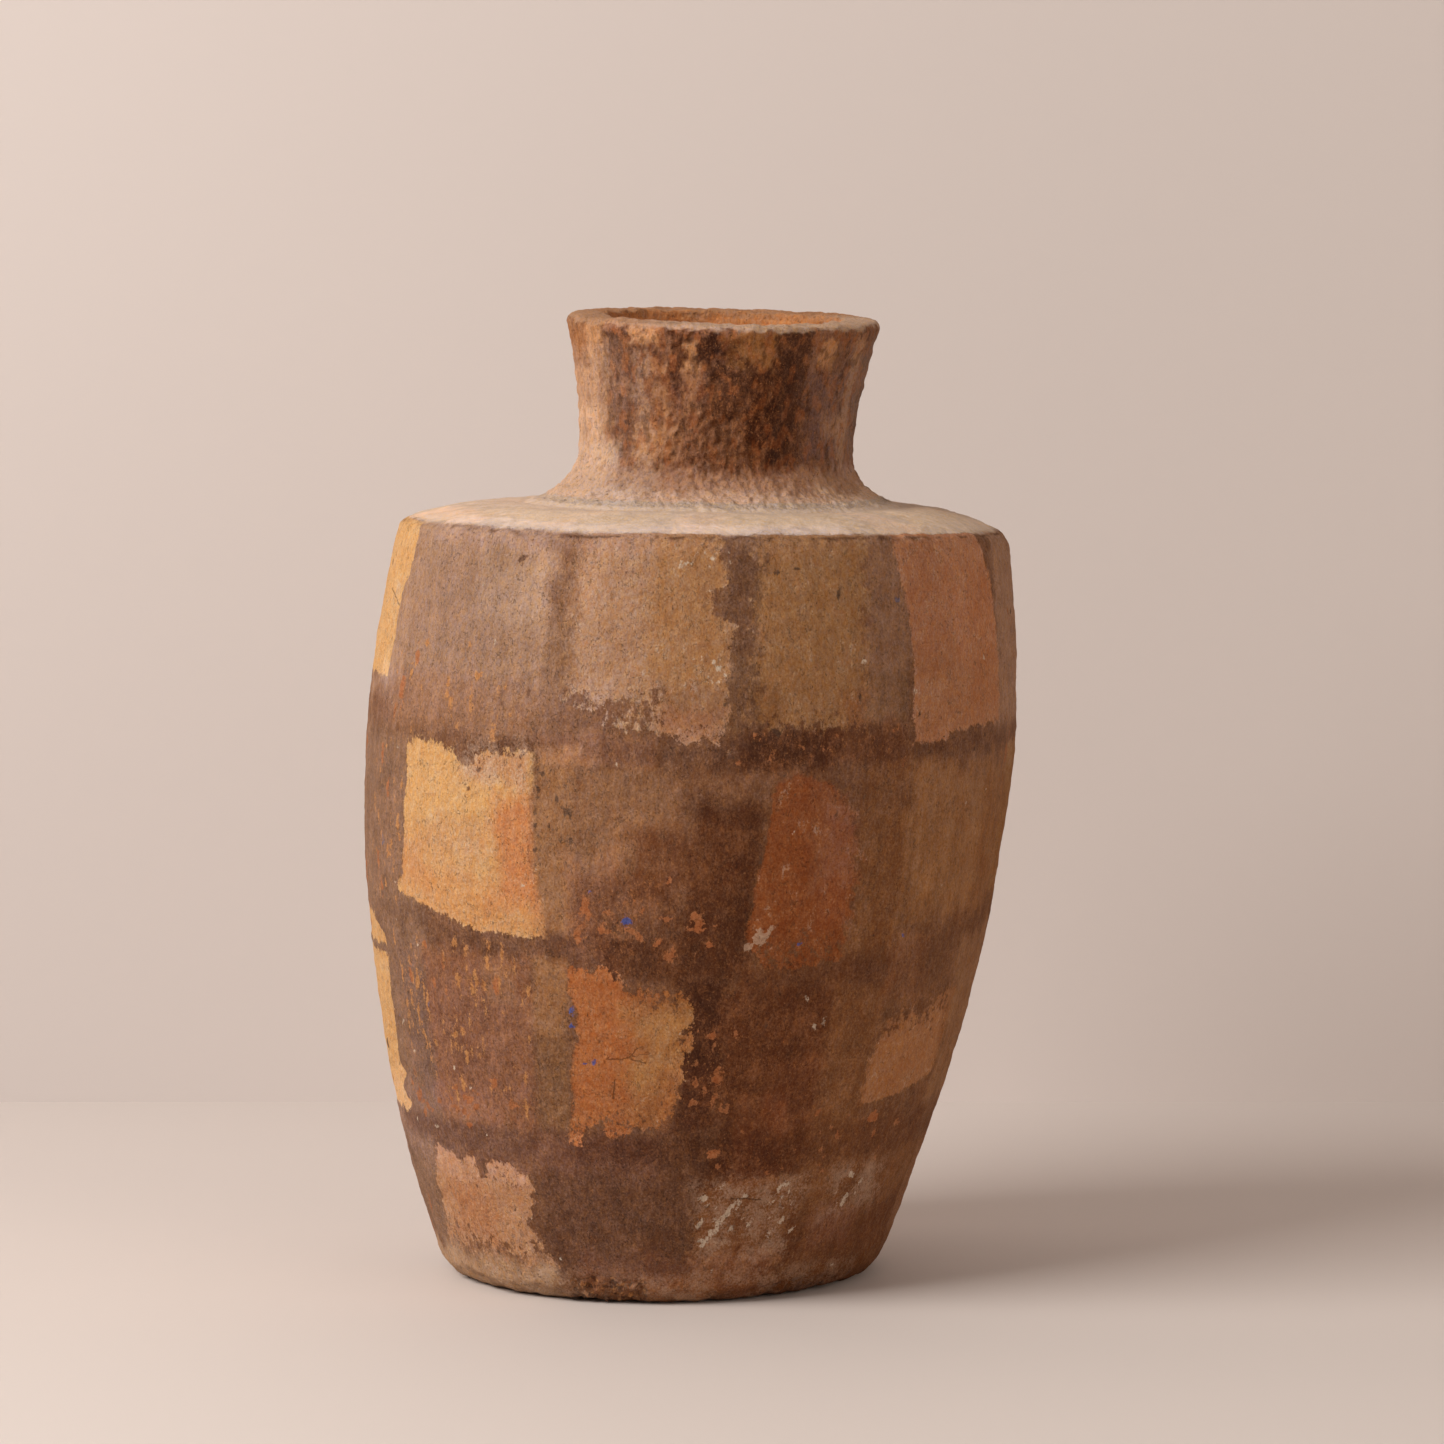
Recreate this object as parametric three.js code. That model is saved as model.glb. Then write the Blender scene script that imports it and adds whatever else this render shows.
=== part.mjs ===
// A hand-built earthenware jar: a slab base, four wall courses, a shoulder ring, a neck collar and a
// rim coil, luted together with slip. Millimetres, +Z up. The origin is the middle of the underside,
// and the jar leans towards +X.

import * as THREE from 'three';

// Heights of the outside, stacked from the table up
const lowerWallHeight = 250;
const upperWallHeight = 103;
const rootRise = 29.5;
const flareHeight = 54;
const lipRise = 4.4;

// Radii of the outside
const footRadius = 101.2;
const bellyRadius = 152.4;
const ridgeRadius = 142.5;
const neckRadius = 64.2;
const lipRadius = 73;

// How far the neck's root spreads over the shoulder, how steeply the shoulder rises to it, and how
// far it bulges above that slope
const rootSpread = 24;
const shoulderSlopeDegrees = 6.7;
const shoulderCrown = 4.3;

// How full each curve is: 1 is a straight cone, 2 is a parabola
const lowerFullness = 1.9;
const upperFullness = 1.85;
const rootFullness = 3.2;
const flareFullness = 1.7;

// Rounded edges
const footEdge = 10;
const ridgeEdge = 4;
const lipOuterEdge = 6;
const lipInnerEdge = 4;
const underShoulderEdge = 8;

// Wall thicknesses and the mouth
const slabThickness = 16;
const slabEdgeThickness = 12;
const wallThickness = 13;
const shoulderThickness = 12;
const neckThickness = 14;
const mouthRadius = 54;

// Joints: each course beds on a scarf that drops towards the inside, with a film of slip between
const wallCourses = 4;
const scarfDrop = 5;
const slipFilm = 0.4;
const underShoulderLedge = 5;
const rootSeamRise = 4;
const rimCoilHeight = 18;

// How the jar departs from a true turned form. Its rings tilt down to the right, and the shoulder
// nods backwards, the lip a little forwards.
const leanDegrees = 3.3;
const neckShift = 3.4;
const shoulderTiltDegrees = 0.9;
const lipTiltDegrees = 1.7;
const shoulderNodDegrees = 1.8;
const lipNodDegrees = -0.3;
const ovalError = 1.2;
const threeLobeError = 0.7;

// Facets
const facetsAround = 60;
const facetsUpOutside = 3;
const facetsUpInside = 2;
const facetsOnRoot = 4;
const facetsOnFlare = 4;
const facetsAcrossShoulder = 3;
const facetsOnEdge = 3;

// Colours and surface
const footClay = 0x8d6b50;
const umberSlip = 0x6f4c36;
const redSlip = 0x7f4b30;
const brownSlip = 0x7a5438;
const oliveSlip = 0x80603f;
const dustyClay = 0xb59a7c;
const neckSlip = 0x865a3d;
const lipClay = 0xa08468;
const slipRoughness = 0.72;
const clayRoughness = 0.88;

// Levels and radii that follow from the driving sizes
const bellyLevel = lowerWallHeight;
const ridgeLevel = bellyLevel + upperWallHeight;
const shoulderRisePerMm = Math.tan(THREE.MathUtils.degToRad(shoulderSlopeDegrees));
const rootRadius = neckRadius + rootSpread;
const throatRadius = neckRadius - neckThickness;
const innerRootRadius = throatRadius + rootSpread;
const rootLevel = shoulderTop(rootRadius);
const waistLevel = rootLevel + rootRise;
const lipEdgeLevel = waistLevel + flareHeight;
const topLevel = lipEdgeLevel + lipRise;
const innerRootLevel = shoulderUnderside(innerRootRadius);
const throatLevel = innerRootLevel + rootRise;
const innerRidgeRadius = wallInside(ridgeLevel);
const shoulderBedInner = shoulderUnderside(innerRidgeRadius) - underShoulderLedge;
const shoulderBed = shoulderBedInner + scarfDrop;
const collarBed = rootLevel + rootSeamRise;
const rimBed = topLevel - rimCoilHeight;
const courseHeight = (shoulderBed - slabEdgeThickness) / wallCourses;

// Outside of the wall, foot to ridge
function wallOutside(level) {
  if (level <= bellyLevel) {
    const below = 1 - level / bellyLevel;
    return bellyRadius - (bellyRadius - footRadius) * below ** lowerFullness;
  }
  const above = (level - bellyLevel) / upperWallHeight;
  return bellyRadius - (bellyRadius - ridgeRadius) * above ** upperFullness;
}

function wallInside(level) {
  return wallOutside(level) - wallThickness;
}

// Top and underside of the sloping shoulder, which bulges between the ridge and the throat
function shoulderTop(radius) {
  const inwards = (ridgeRadius - radius) / (ridgeRadius - innerRootRadius);
  const bulge = shoulderCrown * 4 * inwards * (1 - inwards);
  return ridgeLevel + (ridgeRadius - radius) * shoulderRisePerMm + bulge;
}

function shoulderUnderside(radius) {
  return shoulderTop(radius) - shoulderThickness;
}

// A waisted neck: spreads below its narrowest level and flares above it
function waisted(level, narrowLevel, narrowRadius, flaredRadius) {
  if (level <= narrowLevel) {
    const below = (narrowLevel - level) / rootRise;
    return narrowRadius + rootSpread * below ** rootFullness;
  }
  const above = (level - narrowLevel) / flareHeight;
  return narrowRadius + (flaredRadius - narrowRadius) * above ** flareFullness;
}

function neckOutside(level) {
  return waisted(level, waistLevel, neckRadius, lipRadius);
}

function neckInside(level) {
  const straightAbove = Math.min(level, throatLevel + flareHeight);
  return waisted(straightAbove, throatLevel, throatRadius, mouthRadius);
}

// Points of one side of a piece, from one level to another, with both ends
function side(radiusAt, fromLevel, toLevel, steps) {
  const points = [];
  for (let step = 0; step <= steps; step += 1) {
    const level = fromLevel + (toLevel - fromLevel) * step / steps;
    points.push(new THREE.Vector2(radiusAt(level), level));
  }
  return points;
}

// Points of the shoulder's top or underside, from one radius to another, with both ends
function across(levelAt, fromRadius, toRadius) {
  const points = [];
  for (let step = 0; step <= facetsAcrossShoulder; step += 1) {
    const radius = fromRadius + (toRadius - fromRadius) * step / facetsAcrossShoulder;
    points.push(new THREE.Vector2(radius, levelAt(radius)));
  }
  return points;
}

// A rounded corner between two points
function rounded(start, corner, end) {
  return new THREE.QuadraticBezierCurve(start, corner, end).getPoints(facetsOnEdge);
}

// The two bends of a scarf bed, outer one first: flat thirds joined by a slope
function scarfBends(outerRadius, innerRadius, level) {
  const third = (outerRadius - innerRadius) / 3;
  return [
    new THREE.Vector2(outerRadius - third, level),
    new THREE.Vector2(innerRadius + third, level - scarfDrop),
  ];
}

// The form as it was built by hand: out of round, leaning, with its upper rings tilted
function settle(geometry) {
  const lean = Math.tan(THREE.MathUtils.degToRad(leanDegrees));
  const position = geometry.attributes.position;
  for (let index = 0; index < position.count; index += 1) {
    const x = position.getX(index);
    const y = position.getY(index);
    const level = position.getZ(index);
    const radius = Math.hypot(x, y);
    const angle = Math.atan2(y, x);
    const lobes = ovalError * Math.sin(2 * angle) + threeLobeError * Math.sin(3 * angle);
    const swell = 1 + lobes / bellyRadius;
    const inNeck = 1 - THREE.MathUtils.smoothstep(radius, rootRadius, innerRidgeRadius);
    const aboveBelly = THREE.MathUtils.smoothstep(level, bellyLevel, shoulderBedInner);
    const shift = lean * level + neckShift * inNeck * aboveBelly;
    const fall = x * ringSlope(level, shoulderTiltDegrees, lipTiltDegrees);
    const nod = y * ringSlope(level, shoulderNodDegrees, lipNodDegrees);
    position.setXYZ(index, x * swell + shift, y * swell, level - (fall + nod) * swell);
  }
  geometry.computeVertexNormals();
}

// Slope of the ring at a level, from its degrees at the shoulder and at the lip. The foot is level.
function ringSlope(level, shoulderDegrees, lipDegrees) {
  if (level <= ridgeLevel) {
    return Math.tan(THREE.MathUtils.degToRad(shoulderDegrees * (level / ridgeLevel) ** 2));
  }
  const above = (level - ridgeLevel) / (topLevel - ridgeLevel);
  return Math.tan(THREE.MathUtils.degToRad(shoulderDegrees + (lipDegrees - shoulderDegrees) * above));
}

// One piece: a profile revolved about the upright axis, then settled. The profile runs up the
// outside and down the inside.
function fired(name, profile, colour, roughness) {
  const geometry = new THREE.LatheGeometry(profile, facetsAround);
  geometry.rotateX(Math.PI / 2);
  settle(geometry);
  const material = new THREE.MeshStandardMaterial({ color: colour, roughness, metalness: 0 });
  const mesh = new THREE.Mesh(geometry, material);
  mesh.name = name;
  return mesh;
}

function closed(profile) {
  return [...profile, profile[0].clone()];
}

// The slab that the jar stands on. Its rebated edge carries the wall, and its middle fills the wall.
function baseSlab() {
  const padRadius = wallInside(slabEdgeThickness) - slipFilm;
  const footCorner = new THREE.Vector2(wallOutside(0), 0);
  const profile = [
    new THREE.Vector2(0, 0),
    ...rounded(
      new THREE.Vector2(wallOutside(0) - footEdge, 0),
      footCorner,
      new THREE.Vector2(wallOutside(footEdge), footEdge),
    ),
    new THREE.Vector2(wallOutside(slabEdgeThickness), slabEdgeThickness),
    new THREE.Vector2(padRadius, slabEdgeThickness),
    new THREE.Vector2(padRadius, slabThickness),
    new THREE.Vector2(0, slabThickness),
  ];
  return fired('base_slab', profile, footClay, clayRoughness);
}

// One lift of the wall. The lowest stands flat on the slab, the others bed on the scarf below.
function wallCourse(number, colour) {
  const bedLevel = slabEdgeThickness + (number - 1) * courseHeight;
  const topBed = bedLevel + courseHeight;
  const isLowest = number === 1;
  const bottom = bedLevel + slipFilm;
  const innerBottom = isLowest ? bottom : bottom - scarfDrop;
  const innerTop = topBed - scarfDrop;
  const bottomBends = scarfBends(wallOutside(bottom), wallInside(innerBottom), bottom);
  const profile = [
    ...side(wallOutside, bottom, topBed, facetsUpOutside),
    ...scarfBends(wallOutside(topBed), wallInside(innerTop), topBed),
    ...side(wallInside, innerTop, innerBottom, facetsUpInside),
    ...(isLowest ? [] : bottomBends.reverse()),
  ];
  return fired(`wall_course_${number}`, closed(profile), colour, slipRoughness);
}

// The ring that closes the body in: over the ridge, up the slope and into the root of the neck
function shoulderRing() {
  const bottom = shoulderBed + slipFilm;
  const innerBottom = shoulderBedInner + slipFilm;
  const collarBedInner = collarBed - scarfDrop;
  const underCorner = new THREE.Vector2(innerRidgeRadius, shoulderUnderside(innerRidgeRadius));
  const underStart = innerRidgeRadius - underShoulderEdge;
  const bottomBends = scarfBends(wallOutside(bottom), wallInside(innerBottom), bottom);
  const profile = [
    new THREE.Vector2(wallOutside(bottom), bottom),
    ...rounded(
      new THREE.Vector2(wallOutside(ridgeLevel - ridgeEdge), ridgeLevel - ridgeEdge),
      new THREE.Vector2(ridgeRadius, ridgeLevel),
      new THREE.Vector2(ridgeRadius - ridgeEdge, shoulderTop(ridgeRadius - ridgeEdge)),
    ),
    ...across(shoulderTop, ridgeRadius - ridgeEdge, rootRadius).slice(1),
    ...side(neckOutside, rootLevel, collarBed, facetsUpInside).slice(1),
    ...scarfBends(neckOutside(collarBed), neckInside(collarBedInner), collarBed),
    ...side(neckInside, collarBedInner, innerRootLevel, facetsOnEdge),
    ...across(shoulderUnderside, innerRootRadius, underStart).slice(1),
    ...rounded(
      new THREE.Vector2(underStart, shoulderUnderside(underStart)),
      underCorner,
      new THREE.Vector2(wallInside(innerBottom), innerBottom),
    ).slice(1),
    ...bottomBends.reverse(),
  ];
  return fired('shoulder_ring', closed(profile), dustyClay, clayRoughness);
}

// The waisted collar, set on the inner edge of the shoulder
function neckCollar() {
  const bottom = collarBed + slipFilm;
  const innerBottom = bottom - scarfDrop;
  const innerTop = rimBed - scarfDrop;
  const bottomBends = scarfBends(neckOutside(bottom), neckInside(innerBottom), bottom);
  const profile = [
    ...side(neckOutside, bottom, waistLevel, facetsOnRoot),
    ...side(neckOutside, waistLevel, rimBed, facetsOnFlare).slice(1),
    ...scarfBends(neckOutside(rimBed), neckInside(innerTop), rimBed),
    ...side(neckInside, innerTop, throatLevel, facetsUpOutside),
    ...side(neckInside, throatLevel, innerBottom, facetsUpOutside).slice(1),
    ...bottomBends.reverse(),
  ];
  return fired('neck_collar', closed(profile), neckSlip, slipRoughness);
}

// The thick coil that finishes the mouth, rounded outside and flat on top
function rimCoil() {
  const bottom = rimBed + slipFilm;
  const innerBottom = bottom - scarfDrop;
  const innerEdgeLevel = topLevel - lipInnerEdge;
  const bottomBends = scarfBends(neckOutside(bottom), neckInside(innerBottom), bottom);
  const profile = [
    new THREE.Vector2(neckOutside(bottom), bottom),
    ...rounded(
      new THREE.Vector2(lipRadius, lipEdgeLevel),
      new THREE.Vector2(lipRadius, topLevel),
      new THREE.Vector2(lipRadius - lipOuterEdge, topLevel),
    ),
    ...rounded(
      new THREE.Vector2(neckInside(topLevel) + lipInnerEdge, topLevel),
      new THREE.Vector2(neckInside(topLevel), topLevel),
      new THREE.Vector2(neckInside(innerEdgeLevel), innerEdgeLevel),
    ),
    new THREE.Vector2(neckInside(innerBottom), innerBottom),
    ...bottomBends.reverse(),
  ];
  return fired('rim_coil', closed(profile), lipClay, clayRoughness);
}

const courseColours = [umberSlip, redSlip, brownSlip, oliveSlip];

const jar = new THREE.Group();
jar.add(baseSlab());
for (let number = 1; number <= wallCourses; number += 1) {
  jar.add(wallCourse(number, courseColours[(number - 1) % courseColours.length]));
}
jar.add(shoulderRing());
jar.add(neckCollar());
jar.add(rimCoil());

export default jar;
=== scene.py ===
# A hand-built earthenware jar, painted in a worn check of slip, on a pale floor.
# The jar's skin is one fine grid, cut at the luted joints into the pieces that it was built from.
# Lengths here are in mm until a mesh is made. Angles are degrees from the front, -Y, towards +X.

import math
import bpy
import numpy as np
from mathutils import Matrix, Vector


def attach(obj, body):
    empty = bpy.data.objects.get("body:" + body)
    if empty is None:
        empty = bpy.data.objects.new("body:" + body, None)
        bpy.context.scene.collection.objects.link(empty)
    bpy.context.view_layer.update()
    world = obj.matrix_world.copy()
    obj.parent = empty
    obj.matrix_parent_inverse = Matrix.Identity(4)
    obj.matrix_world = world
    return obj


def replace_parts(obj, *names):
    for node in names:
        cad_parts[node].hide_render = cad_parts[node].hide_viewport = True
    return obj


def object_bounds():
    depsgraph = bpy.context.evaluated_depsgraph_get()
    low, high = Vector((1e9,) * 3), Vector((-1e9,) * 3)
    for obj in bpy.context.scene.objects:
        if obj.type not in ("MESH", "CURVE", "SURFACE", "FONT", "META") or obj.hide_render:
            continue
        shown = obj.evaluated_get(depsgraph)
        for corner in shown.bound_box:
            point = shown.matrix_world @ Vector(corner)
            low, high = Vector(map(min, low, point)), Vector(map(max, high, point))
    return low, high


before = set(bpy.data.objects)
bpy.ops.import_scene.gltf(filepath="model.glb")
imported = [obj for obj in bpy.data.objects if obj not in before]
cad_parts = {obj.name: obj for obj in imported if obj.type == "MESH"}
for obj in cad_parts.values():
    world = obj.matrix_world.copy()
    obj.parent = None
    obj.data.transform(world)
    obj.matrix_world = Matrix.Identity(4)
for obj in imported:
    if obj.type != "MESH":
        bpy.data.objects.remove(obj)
cad_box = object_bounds()

MM = 0.001

# Form, as in the part's source
LOWER_WALL, UPPER_WALL, ROOT_RISE, FLARE_HEIGHT, LIP_RISE = 250.0, 103.0, 29.5, 54.0, 4.4
FOOT_RADIUS, BELLY_RADIUS, RIDGE_RADIUS, NECK_RADIUS, LIP_RADIUS = 101.2, 152.4, 142.5, 64.2, 73.0
ROOT_SPREAD, SHOULDER_SLOPE, SHOULDER_CROWN = 24.0, 6.7, 4.3
LOWER_FULL, UPPER_FULL, ROOT_FULL, FLARE_FULL = 1.9, 1.85, 3.2, 1.7
FOOT_EDGE, RIDGE_EDGE, LIP_OUTER_EDGE, LIP_INNER_EDGE, UNDER_EDGE = 10.0, 4.0, 6.0, 4.0, 8.0
SLAB, SLAB_EDGE, WALL, SHOULDER, NECK, MOUTH_RADIUS = 16.0, 12.0, 13.0, 12.0, 14.0, 54.0
COURSES, SCARF_DROP, SLIP_FILM, LEDGE, ROOT_SEAM, RIM_COIL = 4, 5.0, 0.4, 5.0, 4.0, 18.0
LEAN, NECK_SHIFT, OVAL, THREE_LOBES = 3.3, 3.4, 1.2, 0.7
SHOULDER_TILT, LIP_TILT, SHOULDER_NOD, LIP_NOD = 0.9, 1.7, 1.8, -0.3

# Levels and radii that follow
RIDGE = LOWER_WALL + UPPER_WALL
SLOPE = math.tan(math.radians(SHOULDER_SLOPE))
ROOT_RADIUS = NECK_RADIUS + ROOT_SPREAD
THROAT_RADIUS = NECK_RADIUS - NECK
INNER_ROOT_RADIUS = THROAT_RADIUS + ROOT_SPREAD
INNER_RIDGE_RADIUS = RIDGE_RADIUS - WALL


def shoulder_top(radius):
    inwards = (RIDGE_RADIUS - radius) / (RIDGE_RADIUS - INNER_ROOT_RADIUS)
    return RIDGE + (RIDGE_RADIUS - radius) * SLOPE + SHOULDER_CROWN * 4 * inwards * (1 - inwards)


ROOT = shoulder_top(ROOT_RADIUS)
WAIST = ROOT + ROOT_RISE
LIP_EDGE = WAIST + FLARE_HEIGHT
TOP = LIP_EDGE + LIP_RISE
INNER_ROOT = shoulder_top(INNER_ROOT_RADIUS) - SHOULDER
THROAT = INNER_ROOT + ROOT_RISE
UNDER_RIDGE = shoulder_top(INNER_RIDGE_RADIUS) - SHOULDER
SHOULDER_BED = UNDER_RIDGE - LEDGE + SCARF_DROP
COLLAR_BED = ROOT + ROOT_SEAM
RIM_BED = TOP - RIM_COIL
COURSE = (SHOULDER_BED - SLAB_EDGE) / COURSES

# Grid of the skin: columns round the jar, and the spacing of the rows
COLUMNS = 840
OUTSIDE_STEP, NECK_STEP, INSIDE_STEP, HIDDEN_STEP = 1.16, 1.0, 2.2, 6.0
CENTRE_HOLE = 0.6

# Where each run of a piece lies in its texture: bottom, top and number of parts
OUTER_CHART, INNER_CHART = (0.0, 0.7, 3), (0.7, 0.88, 1)
TOP_CHART, BOTTOM_CHART = (0.88, 0.92, 1), (0.92, 0.96, 1)
CHART_GAP, CAP_LEVEL, CAP_SIZE, CAP_MIDDLES = 0.005, 0.98, 0.008, (0.3, 0.7)

# Paint: how far the painted rows tilt to the right beyond the jar's own lean, and where the dust ends
PAINT_TILT, DUST_RADIUS = 0.6, 138.5
SLANTED = (1, 1, 0.6)
ALL_ROUND = (-180, 180.01)
STREAK_TONE, WANDER_TONE = 0.12, 0.08
EDGE_WANDER, EDGE_STREAKS, MARK_MARGIN, PIT_MARGIN = 0.7, 0.35, 9, 6


def wall_outside(level):
    below = BELLY_RADIUS - (BELLY_RADIUS - FOOT_RADIUS) * np.abs(1 - level / LOWER_WALL) ** LOWER_FULL
    rise = np.abs(level - LOWER_WALL) / UPPER_WALL
    above = BELLY_RADIUS - (BELLY_RADIUS - RIDGE_RADIUS) * rise ** UPPER_FULL
    return np.where(level <= LOWER_WALL, below, above)


def wall_inside(level):
    return wall_outside(level) - WALL


def waisted(level, waist, narrow, flared):
    below = narrow + ROOT_SPREAD * (np.abs(waist - level) / ROOT_RISE) ** ROOT_FULL
    above = narrow + (flared - narrow) * (np.abs(level - waist) / FLARE_HEIGHT) ** FLARE_FULL
    return np.where(level <= waist, below, above)


def neck_outside(level):
    return waisted(level, WAIST, NECK_RADIUS, LIP_RADIUS)


def neck_inside(level):
    return waisted(np.minimum(level, THROAT + FLARE_HEIGHT), THROAT, THROAT_RADIUS, MOUTH_RADIUS)


def stretch(radius_at, start, end, step):
    """Points (radius, level) of a side from one level to another, with both ends."""
    count = max(1, round(abs(end - start) / step))
    levels = np.linspace(start, end, count + 1)
    return np.stack([radius_at(levels), levels], axis=1)


def level_run(level_at, start, end, step):
    """Points (radius, level) of a run across, from one radius to another, with both ends."""
    count = max(1, round(abs(end - start) / step))
    radii = np.linspace(start, end, count + 1)
    return np.stack([radii, level_at(radii)], axis=1)


def rounding(start, corner, end, step):
    """Points of a rounded corner between two points, with both ends."""
    start, corner, end = np.array(start, float), np.array(corner, float), np.array(end, float)
    length = np.linalg.norm(corner - start) + np.linalg.norm(end - corner)
    t = np.linspace(0, 1, max(2, round(length / step)) + 1)[:, None]
    return start * (1 - t) ** 2 + corner * 2 * t * (1 - t) + end * t ** 2


def skin_profile():
    """The jar's skin from the middle of its underside, up the outside, over the lip and down the
    inside to the middle of its floor. Also gives the row at which each named joint or edge lies."""
    rows, marks = [], {"underside start": 0}

    def add(name, points):
        rows.extend(points if not rows else points[1:])
        marks[name] = len(rows) - 1

    def flat(radius):
        return np.zeros_like(radius)

    foot_top = (float(wall_outside(FOOT_EDGE)), FOOT_EDGE)
    add("underside", level_run(flat, CENTRE_HOLE, FOOT_RADIUS - FOOT_EDGE, HIDDEN_STEP))
    add("foot", rounding((FOOT_RADIUS - FOOT_EDGE, 0), (FOOT_RADIUS, 0), foot_top, OUTSIDE_STEP))
    add("bed 0", stretch(wall_outside, FOOT_EDGE, SLAB_EDGE, OUTSIDE_STEP))
    for course in range(COURSES):
        bottom = SLAB_EDGE + course * COURSE
        add(f"bed {course + 1}", stretch(wall_outside, bottom, bottom + COURSE, OUTSIDE_STEP))
    ridge_start = (float(wall_outside(RIDGE - RIDGE_EDGE)), RIDGE - RIDGE_EDGE)
    ridge_end = (RIDGE_RADIUS - RIDGE_EDGE, float(shoulder_top(RIDGE_RADIUS - RIDGE_EDGE)))
    add("ridge start", stretch(wall_outside, SHOULDER_BED, RIDGE - RIDGE_EDGE, OUTSIDE_STEP))
    add("ridge", rounding(ridge_start, (RIDGE_RADIUS, RIDGE), ridge_end, NECK_STEP))
    add("root", level_run(shoulder_top, RIDGE_RADIUS - RIDGE_EDGE, ROOT_RADIUS, OUTSIDE_STEP))
    add("collar bed", stretch(neck_outside, ROOT, COLLAR_BED, NECK_STEP / 2))
    add("rim bed", stretch(neck_outside, COLLAR_BED, RIM_BED, NECK_STEP))
    add("lip edge", stretch(neck_outside, RIM_BED, LIP_EDGE, NECK_STEP))
    lip_end = (LIP_RADIUS - LIP_OUTER_EDGE, TOP)
    mouth_start = (MOUTH_RADIUS + LIP_INNER_EDGE, TOP)
    mouth_end = (MOUTH_RADIUS, TOP - LIP_INNER_EDGE)
    add("lip top", rounding((LIP_RADIUS, LIP_EDGE), (LIP_RADIUS, TOP), lip_end, NECK_STEP))
    add("lip inside", level_run(lambda radius: flat(radius) + TOP, lip_end[0], mouth_start[0], NECK_STEP))
    add("mouth", rounding(mouth_start, (MOUTH_RADIUS, TOP), mouth_end, NECK_STEP))
    add("inner rim bed", stretch(neck_inside, TOP - LIP_INNER_EDGE, RIM_BED - SCARF_DROP, NECK_STEP))
    add("inner collar bed", stretch(neck_inside, RIM_BED - SCARF_DROP, COLLAR_BED - SCARF_DROP, INSIDE_STEP))
    add("inner root", stretch(neck_inside, COLLAR_BED - SCARF_DROP, INNER_ROOT, INSIDE_STEP))
    under_end = (INNER_RIDGE_RADIUS - UNDER_EDGE, shoulder_top(INNER_RIDGE_RADIUS - UNDER_EDGE) - SHOULDER)
    add("under shoulder", level_run(lambda radius: shoulder_top(radius) - SHOULDER,
                                    INNER_ROOT_RADIUS, under_end[0], HIDDEN_STEP))
    add("inner ridge", rounding(under_end, (INNER_RIDGE_RADIUS, UNDER_RIDGE),
                                (float(wall_inside(SHOULDER_BED - SCARF_DROP)), SHOULDER_BED - SCARF_DROP),
                                INSIDE_STEP))
    for course in reversed(range(COURSES)):
        top = SLAB_EDGE + (course + 1) * COURSE - SCARF_DROP
        bottom = SLAB if course == 0 else top - COURSE
        add(f"inner bed {course}", stretch(wall_inside, top, bottom, HIDDEN_STEP))
    add("floor", level_run(lambda radius: flat(radius) + SLAB, float(wall_inside(SLAB)), CENTRE_HOLE,
                           HIDDEN_STEP))
    marks["inner bed 4"] = marks["inner ridge"]
    return np.array(rows), marks


profile, at = skin_profile()
profile_radius, profile_level = profile[:, 0], profile[:, 1]
azimuth = np.linspace(-180, 180, COLUMNS, endpoint=False)


def smoothstep(low, high, value):
    t = np.clip((value - low) / (high - low), 0, 1)
    return t * t * (3 - 2 * t)


# Smooth noise, the same on every run: how far seeds lie apart and from the jar, and its strength
SEED_SHIFT, ORIGIN_SHIFT, NOISE_GAIN = 13.7, 50, 1.7
random = np.random.default_rng(7)
HASH = np.tile(random.permutation(256), 2)
LEANINGS = random.normal(size=(256, 3)).astype(np.float32)
LEANINGS /= np.linalg.norm(LEANINGS, axis=1, keepdims=True)


def noise(points, cell, seed=0):
    """Smooth noise of about -1 to 1 at points in mm, with features about one cell across."""
    scaled = points / np.float32(cell) + np.float32(seed * SEED_SHIFT + ORIGIN_SHIFT)
    base = np.floor(scaled).astype(np.int32)
    part = scaled - base
    fade = part * part * part * (part * (part * 6 - 15) + 10)
    total = np.zeros(points.shape[:-1], np.float32)
    for corner in np.ndindex(2, 2, 2):
        x, y, z = (base[..., axis] + corner[axis] & 255 for axis in range(3))
        leaning = LEANINGS[HASH[HASH[HASH[x] + y] + z]]
        weight = np.ones_like(total)
        for axis in range(3):
            weight *= fade[..., axis] if corner[axis] else 1 - fade[..., axis]
        total += weight * ((part - np.array(corner, np.float32)) * leaning).sum(-1)
    return total * NOISE_GAIN


def rough_noise(points, cell, octaves, seed=0):
    """Noise with finer noise on it."""
    return sum(noise(points, cell / 2 ** k, seed + k) / 2 ** k for k in range(octaves))


def revolve(radius, level):
    """Points (row, column, xyz) of profile rows turned about the upright axis."""
    angle = np.radians(azimuth)[None, :]
    radius = np.broadcast_to(radius, (len(level), COLUMNS))
    level = np.broadcast_to(level, radius.shape)
    return np.stack([radius * np.sin(angle), -radius * np.cos(angle), level], axis=-1)


def ring_slope(level, at_shoulder, at_lip):
    """Slope of the ring at a level, from its degrees at the shoulder and at the lip."""
    below = at_shoulder * (np.clip(level, 0, RIDGE) / RIDGE) ** 2
    above = (at_lip - at_shoulder) * np.maximum(level - RIDGE, 0) / (TOP - RIDGE)
    return np.tan(np.radians(below + above))


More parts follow.
